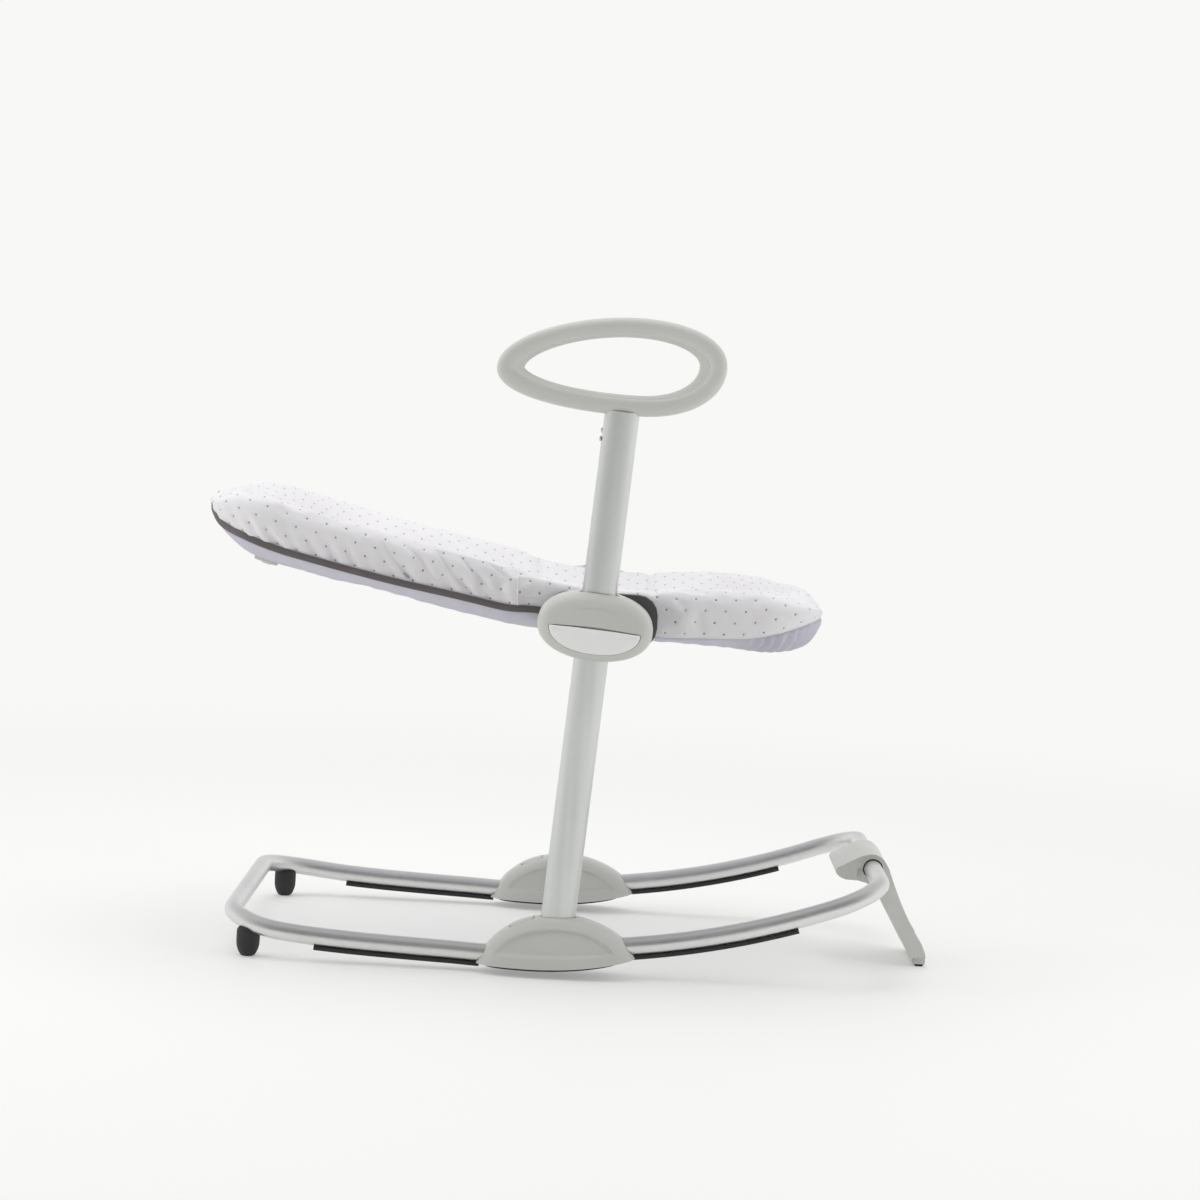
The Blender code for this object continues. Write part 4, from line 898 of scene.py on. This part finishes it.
# ---------------------------------------------------------------- seat fabric
def outline_spots(count):
    """Rim points (x, y) evenly round the seat from the middle of the foot end, and the
    distance of each along the rim."""
    foot, head = SEAT_HIGH.x, SEAT_LOW.x
    corners = ((foot - FOOT_CORNER, FOOT_CORNER, 0.0), (head + HEAD_CORNER, HEAD_CORNER, 90.0))
    track = []
    fine = 24
    for centre_x, radius, start in corners:
        for i in range(fine + 1):
            angle = math.radians(start + 90 * i / fine)
            track.append((centre_x + radius * math.cos(angle),
                          HALF_WIDTH - radius + radius * math.sin(angle)))
    half = [(foot, 0.0)] + track + [(head, 0.0)]
    loop = half + [(x, -y) for x, y in half[-2:0:-1]]
    loop.append(loop[0])
    reach = [0.0]
    for first, second in zip(loop, loop[1:]):
        reach.append(reach[-1] + math.dist(first, second))
    spots = []
    k = 0
    for i in range(count):
        wanted = reach[-1] * i / count
        while reach[k + 1] < wanted:
            k += 1
        t = (wanted - reach[k]) / (reach[k + 1] - reach[k])
        spots.append((loop[k][0] + (loop[k + 1][0] - loop[k][0]) * t,
                      loop[k][1] + (loop[k + 1][1] - loop[k][1]) * t))
    return spots, reach[-1]


def spine(x):
    """The point of the middle line that a rim point faces."""
    head_reach, foot_reach = 0.150, 0.125
    return min(max(x, SEAT_LOW.x + head_reach), SEAT_HIGH.x - foot_reach)


def floor_height(x):
    """Top of the padding along the middle of the seat."""
    seat_pad, leg_extra, lowest_wall = 0.028, 0.012, 0.004
    lift = seat_pad + leg_extra * smooth(0.05, 0.15, x)
    return min(along(UNDERSIDE, x) + lift, along(RIDGE, x) - lowest_wall)


WALL_ROWS = 12
INNER_ROWS = 22
UNDER_ROWS = 18


def hub_squeeze(x):
    """1 where the fabric is held between the hub brackets, 0 away from them."""
    return smooth(-0.080, -0.040, x) * (1 - smooth(0.105, 0.145, x))


def liner_point(spot, row):
    """Row 0 is the rim, WALL_ROWS the top of the ridge, and the last row the middle."""
    x, y = spot
    centre = spine(x)
    ridge_share = 0.925 - 0.075 * smooth(0.08, 0.20, x)
    rim_z = along(RIM, x)
    ridge_z = along(RIDGE, centre + (x - centre) * ridge_share)
    if row <= WALL_ROWS:
        angle = math.pi / 2 * row / WALL_ROWS
        belly = (0.013 - 0.010 * hub_squeeze(x)) * math.sin(math.pi * row / WALL_ROWS)
        share = ridge_share + (1 - ridge_share) * math.cos(angle) ** 0.55
        share += belly / HALF_WIDTH * 0.55
        height = rim_z + (ridge_z - rim_z) * math.sin(angle) ** 0.80
        return Vector((centre + (x - centre) * share, y * share, height))
    t = (row - WALL_ROWS) / INNER_ROWS
    share = ridge_share * (1 - t)
    here = centre + (x - centre) * share
    low = floor_height(here)
    fall = 1 - smooth(0.0, 0.78, t) * (0.94 + 0.06 * t)
    return Vector((here, y * share, low + (ridge_z - low) * max(0.0, fall)))


def underside_point(spot, row):
    """Row 0 is the rim and the last row the middle."""
    x, y = spot
    centre = spine(x)
    t = row / UNDER_ROWS
    share = 1 - t ** 1.35
    here = centre + (x - centre) * share
    rim_z = along(RIM, x)
    drop = rim_z - along(UNDERSIDE, here)
    fullness = 2.6 + 7 * smooth(0.20, 0.27, x) + 2.5 * (1 - smooth(-0.42, -0.36, x))
    bow = math.sqrt(max(0.0, 1 - share ** fullness))
    return Vector((here, y * share, rim_z - drop * bow))


def seat_shell(count):
    """One closed mesh: liner rows first, then the underside's."""
    spots, girth = outline_spots(count)
    liner_rows = WALL_ROWS + INNER_ROWS
    rows = [[liner_point(s, r) for s in spots] for r in range(liner_rows, -1, -1)]
    rows += [[underside_point(s, r) for s in spots] for r in range(1, UNDER_ROWS + 1)]
    climbs = []
    for column in zip(*rows):
        climb = [0.0]
        for above, below in zip(column[liner_rows - 1::-1], column[liner_rows:0:-1]):
            climb.append(climb[-1] + (above - below).length)
        down = [0.0]
        for above, below in zip(column[liner_rows:], column[liner_rows + 1:]):
            down.append(down[-1] + (below - above).length)
        climbs.append(climb[::-1] + down[1:])
    bm = skin(rows, False, lambda r, i: (i * girth / count, climbs[i % count][r]))
    for k, face in enumerate(bm.faces):
        face.material_index = 0 if k < liner_rows * count else 1
    held = bm.verts.layers.int.new("held")
    for k, v in enumerate(bm.verts):
        at_hub = hub_squeeze(v.co.x) > 0.6 and abs(v.co.y) > 0.80 * HALF_WIDTH
        v[held] = 1 if at_hub or k // count == liner_rows else 0
    return mesh_from(bm, "seat_shell", 0.00005)


def inflate(mesh, cap):
    """Cloth with pressure inside, the rim held. A point moves by cap at most, and the
    underside, which the frame keeps taut, by much less."""
    first, last, under_share = 1, 20, 0.25
    holder = placed("inflating", mesh)
    group = holder.vertex_groups.new(name="held")
    held = [i for i, mark in enumerate(mesh.attributes["held"].data) if mark.value]
    group.add(held, 1.0, "REPLACE")
    rest = np.array([v.co[:] for v in mesh.vertices])
    mod = holder.modifiers.new("cloth", "CLOTH")
    cloth = mod.settings
    cloth.quality = 6
    cloth.mass = 0.2
    cloth.tension_stiffness = cloth.compression_stiffness = 18
    cloth.shear_stiffness = 6
    cloth.bending_stiffness = 0.25
    cloth.shrink_min = -0.035
    cloth.use_pressure = True
    cloth.uniform_pressure_force = 4.0
    cloth.effector_weights.gravity = 0
    cloth.vertex_group_mass = "held"
    cloth.pin_stiffness = 1.0
    scene = bpy.context.scene
    scene.frame_start, scene.frame_end = first, last + 4
    mod.point_cache.frame_start, mod.point_cache.frame_end = first, last + 4
    for step in range(first, last + 1):
        scene.frame_set(step)
    swollen = holder.evaluated_get(bpy.context.evaluated_depsgraph_get())
    moved = np.array([v.co[:] for v in swollen.to_mesh().vertices]) - rest
    swollen.to_mesh_clear()
    under = {v for face in mesh.polygons if face.material_index for v in face.vertices}
    moved[sorted(under)] *= under_share
    reach = np.linalg.norm(moved, axis=1, keepdims=True)
    moved *= cap * np.tanh(reach / cap) / np.maximum(reach, 1e-9)
    mesh.vertices.foreach_set("co", (rest + moved).astype(np.float32).ravel())
    mesh.update()
    bpy.data.objects.remove(holder)
    scene.frame_set(first)


def subdivided(mesh):
    holder = placed("subdividing", mesh)
    mod = holder.modifiers.new("fine", "SUBSURF")
    mod.levels = mod.render_levels = 1
    mod.use_limit_surface = False
    return baked(holder)


def band(value, low, top, end, bottom):
    """0 below low, 1 from top to end, and 0 again above bottom."""
    return smooth(low, top, value) * (1 - smooth(end, bottom, value))


def liner_lift(x, y, z, u, v):
    """The liner's own relief: puckers along the tape, slanting folds, soft creases, and the
    two folds where the seat meets the back and the legs. v runs up from the rim."""
    slant = u * (1 if y > 0 else -1) - 0.45 * v
    waver = noise.noise(Vector((x * 14, y * 14, z * 14)))
    back = (1 - smooth(-0.09, -0.06, x)) * smooth(-0.46, -0.36, x)
    wave = math.cos(2 * math.pi * slant / 0.0235 + 1.2 * waver)
    lift = 0.0021 * back * band(v, 0.001, 0.007, 0.016, 0.038) * (wave - 0.2) * (1 + 0.7 * waver)
    fold = abs(math.cos(math.pi * (slant - 0.6 * v) / 0.034 + 1.5 * waver))
    deep = band(x, -0.30, -0.20, -0.088, -0.072)
    lift -= 0.0036 * deep * band(v, 0.004, 0.014, 0.040, 0.058) * (1 - fold) ** 2
    crease = noise.noise(Vector((u * 24 + v * 34, v * 12, 4.2)))
    loose = band(v, 0.010, 0.030, 0.100, 0.150) * (1 - 0.8 * hub_squeeze(x))
    lift += 0.0026 * crease * loose
    seat_fold = math.exp(-((x + 0.045) / 0.006) ** 2) + math.exp(-((x - 0.095) / 0.006) ** 2)
    return lift - 0.0040 * seat_fold * smooth(0.045, 0.060, v)


def sling_lift(x, y, u, v):
    """The underside's relief: gathers under the foot end, shallow scallops elsewhere."""
    foot = smooth(0.17, 0.24, x)
    waver = noise.noise(Vector((u * 40, v * 20, 0)))
    gather = math.cos(2 * math.pi * u / 0.0140 + 1.6 * waver)
    lift = 0.0027 * foot * band(v, 0.0, 0.004, 0.030, 0.070) * gather
    scallop = math.cos(2 * math.pi * u / 0.027)
    lift += 0.0006 * (1 - foot) * band(v, 0.002, 0.016, 0.05, 0.12) * scallop
    return lift + 0.0016 * noise.noise(Vector((x * 22, y * 30, 2.0))) * smooth(0.01, 0.05, v)


def pucker(mesh):
    """Sewn-in fullness, as a relief on the liner and on the underside."""
    layer = mesh.uv_layers[0].data
    places = [(0.0, 0.0)] * len(mesh.vertices)
    white = set()
    for face in mesh.polygons:
        for k in face.loop_indices:
            spot = mesh.loops[k].vertex_index
            places[spot] = tuple(layer[k].uv)
            if face.material_index == 0:
                white.add(spot)
    normals = [vertex.normal.copy() for vertex in mesh.vertices]
    for i, vertex in enumerate(mesh.vertices):
        x, y, z = vertex.co
        lift = liner_lift(x, y, z, *places[i]) if i in white else sling_lift(x, y, *places[i])
        vertex.co += normals[i] * lift
    mesh.update()


def half_of(mesh, index, name):
    """The faces of one material index, as a mesh of their own."""
    bm = bmesh.new()
    bm.from_mesh(mesh)
    gone = [f for f in bm.faces if f.material_index != index]
    bmesh.ops.delete(bm, geom=gone, context="FACES")
    for face in bm.faces:
        face.material_index = 0
    return mesh_of(bm, name)


def thicken(obj, thickness):
    """Gives a skin its thickness, inwards."""
    wall = obj.modifiers.new("thickness", "SOLIDIFY")
    wall.thickness = thickness
    wall.offset = -1


def seat_fabric():
    """The padded liner and the cloth under it, blown up together and parted at the rim."""
    mesh = seat_shell(300)
    inflate(mesh, 0.0045)
    fine = subdivided(mesh)
    pucker(fine)
    top = half_of(fine, 0, "padded_liner")
    cloth = BVHTree.FromPolygons([v.co for v in top.vertices], [f.vertices for f in top.polygons])
    liner = add("padded_liner", top, "liner", "seat", ["seat_pad"], angle=80)
    thicken(liner, 0.0016)
    under = half_of(fine, 1, "under_sling")
    sling = add("under_sling", under, "lining", "seat", ["sling"], angle=80)
    thicken(sling, 0.0012)
    return cloth


def edge_tape():
    """The binding round the head end and both sides, from hub to hub, its piping, and the
    loop of tape at the head."""
    last_x, stand_off = -0.020, 0.0011
    spots, _ = outline_spots(900)
    path = []
    for x, y in spots:
        if x <= last_x:
            outward = Vector((x - spine(x), y, 0)).normalized()
            path.append(Vector((x, y, along(RIM, x))) + outward * stand_off)
    tape = [(b, a) for a, b in oval((0.0036, 0.0019), 20, 3.2)]
    piping = [(b + 0.0010, a + 0.0039) for a, b in oval((0.0011, 0.0011), 10)]
    tab = [Vector((SEAT_LOW.x - out, 0, height)) for out, height in
           ((0.0005, 0.529), (0.0030, 0.534), (0.0040, 0.540), (0.0030, 0.545),
            (0.0005, 0.5445), (-0.0005, 0.540), (-0.0005, 0.535))]
    for name, line, section, up in (("edge_tape", path, tape, (0, 0, 1)),
                                    ("edge_piping", path, piping, (0, 0, 1)),
                                    ("head_tab", tab, oval((0.0005, 0.0070), 16, 6.0), (0, 1, 0))):
        add(name, sweep_mesh(name, line, section, up), "tape", "seat")


def joined(name, meshes):
    bm = bmesh.new()
    for mesh in meshes:
        bm.from_mesh(mesh)
    return mesh_of(bm, name)


def strap_path(cloth, centre, half, spots, rise, dip):
    """A strap's middle line over the liner. It climbs into the buckle inside rise, and its
    end dips into the cloth beyond dip. Each spot is (point, distance, direction across)."""
    clear, sunk, below = 0.0012, 0.006, 0.0024
    path = []
    for (x, y), away, (cross_x, cross_y) in spots:
        heights = []
        for d in (-half, 0, half):
            above = Vector((x + cross_x * d, y + cross_y * d, 0.9))
            heights.append(cloth.ray_cast(above, Vector((0, 0, -1)))[0].z)
        rest = max(heights) + clear
        near = 1 - smooth(*rise, away)
        height = rest + (centre.z - below - rest) * near - smooth(*dip, away) * sunk
        path.append(Vector((x, y, height)))
    return path


def harness(cloth):
    """Waist and crotch straps that lie on the liner and rise into the buckle."""
    centre = middle("buckle_housing")
    half, thickness = 0.0125, 0.0008
    waist_reach, crotch_reach = 0.086, 0.092
    waist = []
    for i in range(-40, 41):
        y = waist_reach * i / 40
        waist.append(((centre.x - 0.020 * (y / 0.117) ** 2, y), abs(y), (1, 0)))
    crotch = []
    for i in range(31):
        x = centre.x + crotch_reach * i / 30
        crotch.append(((x, 0), x - centre.x, (0, 1)))
    section = oval((half, thickness), 28, 7.0)
    paths = (strap_path(cloth, centre, half, waist, (0.024, 0.052), (0.076, waist_reach)),
             strap_path(cloth, centre, half, crotch, (0.022, 0.045), (0.080, crotch_reach)))
    straps = [sweep_mesh("strap", path, section, (0, 0, 1)) for path in paths]
    add("harness_straps", joined("harness_straps", straps), "webbing", "seat",
        ["harness_webbing"])


def welts(cloth):
    """Raised seams down the liner's sides and from there to the hub."""
    outside, radius = 0.3, 0.0011
    seams = (((-0.0675, 0.481), (0.002, -0.045), 20), ((-0.0665, 0.4485), (0.026, -0.002), 10))
    made = []
    for _, side in SIDES:
        for (x, z), (run, climb), count in seams:
            path = []
            for i in range(count + 1):
                start = Vector((x + run * i / count, side * outside, z + climb * i / count))
                spot = cloth.ray_cast(start, Vector((0, -side, 0)))[0]
                if spot:
                    path.append(spot)
            made.append(sweep_mesh("welt", path, oval((radius, radius), 10), (0, side, 0)))
    add("liner_welts", joined("liner_welts", made), "liner", "seat")


def cad_copy(node, plane, away, name, grow=0.0):
    """A copy of a CAD node, in the drawing's coordinates, without what lies beyond a plane."""
    source = frame["nodes"][node]
    bm = bmesh.new()
    bm.from_mesh(source.data)
    bm.transform(Matrix.Translation(-TO_FRAME) @ source.matrix_world)
    geom = bm.verts[:] + bm.edges[:] + bm.faces[:]
    sliced = bmesh.ops.bisect_plane(bm, geom=geom, plane_co=plane, plane_no=away,
                                    clear_outer=True)
    rim = [e for e in sliced["geom_cut"] if isinstance(e, bmesh.types.BMEdge)]
    bmesh.ops.contextual_create(bm, geom=rim)
    bm.normal_update()
    if grow:
        for v in bm.verts:
            v.co += v.normal * grow
    return mesh_from(bm, name)


def stand_toe():
    """The moulded end of the stand, which leaves only the pad's sole showing."""
    sole, skin = 0.0028, 0.0004
    low, _ = box("stand_foot_pad")
    cut = Vector((0, 0, low.z + sole))
    mesh = cad_copy("stand_foot_pad", cut, (0, 0, -1), "stand_toe", skin)
    add("stand_toe", mesh, "shell", "stand", angle=30)


def saddles():
    """The frame's saddles, cut off where the carriage ends."""
    for node, _ in pairs("seat_saddle_"):
        mesh = cad_copy(node, Vector((HUB.x - 0.060, 0, HUB.z)), (-1, 0, 0), node + "_half")
        add(node + "_block", mesh, "shell", "seat", [node])


def recline_lever():
    """A small housing let into the cloth, and the lever's finger end in its pocket."""
    pull = Vector(JOINTS["recline_lever_pull"]["axis"])
    out = Vector((-pull.z, 0, pull.x))
    if out.z > 0:
        out = -out
    centre = middle("recline_lever")
    body = cutter_box("body", (0.030, 0.046, 0.0050),
                      frame_at(centre + out * 0.0012, pull, out), 0.0018)
    pocket = cutter_box("pocket", (0.0200, 0.0326, 0.0100), frame_at(centre, pull, out), 0.0010)
    add("recline_body", carved(body, [pocket]), "shell", "seat",
        ["recline_housing"], angle=30)
    finger = cutter_box("finger", (0.0130, 0.0300, 0.0056),
                        frame_at(centre + out * 0.0030 - pull * 0.0010, pull, out), 0.0022)
    add("recline_finger", finger, "shell", "recline_lever", ["recline_lever"],
        angle=30)


def build():
    camera()
    studio()
    studio_floor()
    base_tubes()
    rocker_strips()
    front_feet()
    shoes()
    release_buttons()
    posts()
    handles()
    carriages()
    height_buttons()
    cloth = seat_fabric()
    edge_tape()
    harness(cloth)
    welts(cloth)
    stand_toe()
    saddles()
    recline_lever()
    carried_over()


CARRIED = {
    # node prefix: look, bevel width
    "shoe_core": ("dark", 0.0),
    "shoe_sole": ("rubber", 0.0),
    "handle_plug": ("dark", 0.0),
    "handle_screw": ("steel", 0.0003),
    "guide_bush": ("dark", 0.0),
    "latch_pin": ("dark", 0.0),
    "latch_spring": ("steel", 0.0),
    "button_spring": ("steel", 0.0),
    "hub_bracket": ("dark", 0.0015),
    "pivot_pin": ("steel", 0.0003),
    "recline_lock_pin": ("steel", 0.0),
    "seat_frame_tube": ("steel", 0.0),
    "buckle_housing": ("dark", 0.0008),
    "buckle_button": ("button", 0.0004),
    "stand_leg": ("shell", 0.0032),
    "stand_clamp_cap": ("shell", 0.001),
    "stand_foot_pad": ("rubber", 0.0008),
}


def carried_over():
    """CAD nodes that stay: a finer look, and a small bevel on hard edges."""
    for name, obj in frame["nodes"].items():
        if obj.hide_render:
            continue
        for prefix, (look, bevel) in CARRIED.items():
            if not name.startswith(prefix):
                continue
            obj.data.materials.clear()
            obj.data.materials.append(LOOKS[look])
            if bevel:
                mod = obj.modifiers.new("edges", "BEVEL")
                mod.width = bevel
                mod.segments = 2
                mod.limit_method = "ANGLE"
                mod.angle_limit = math.radians(40)


build()
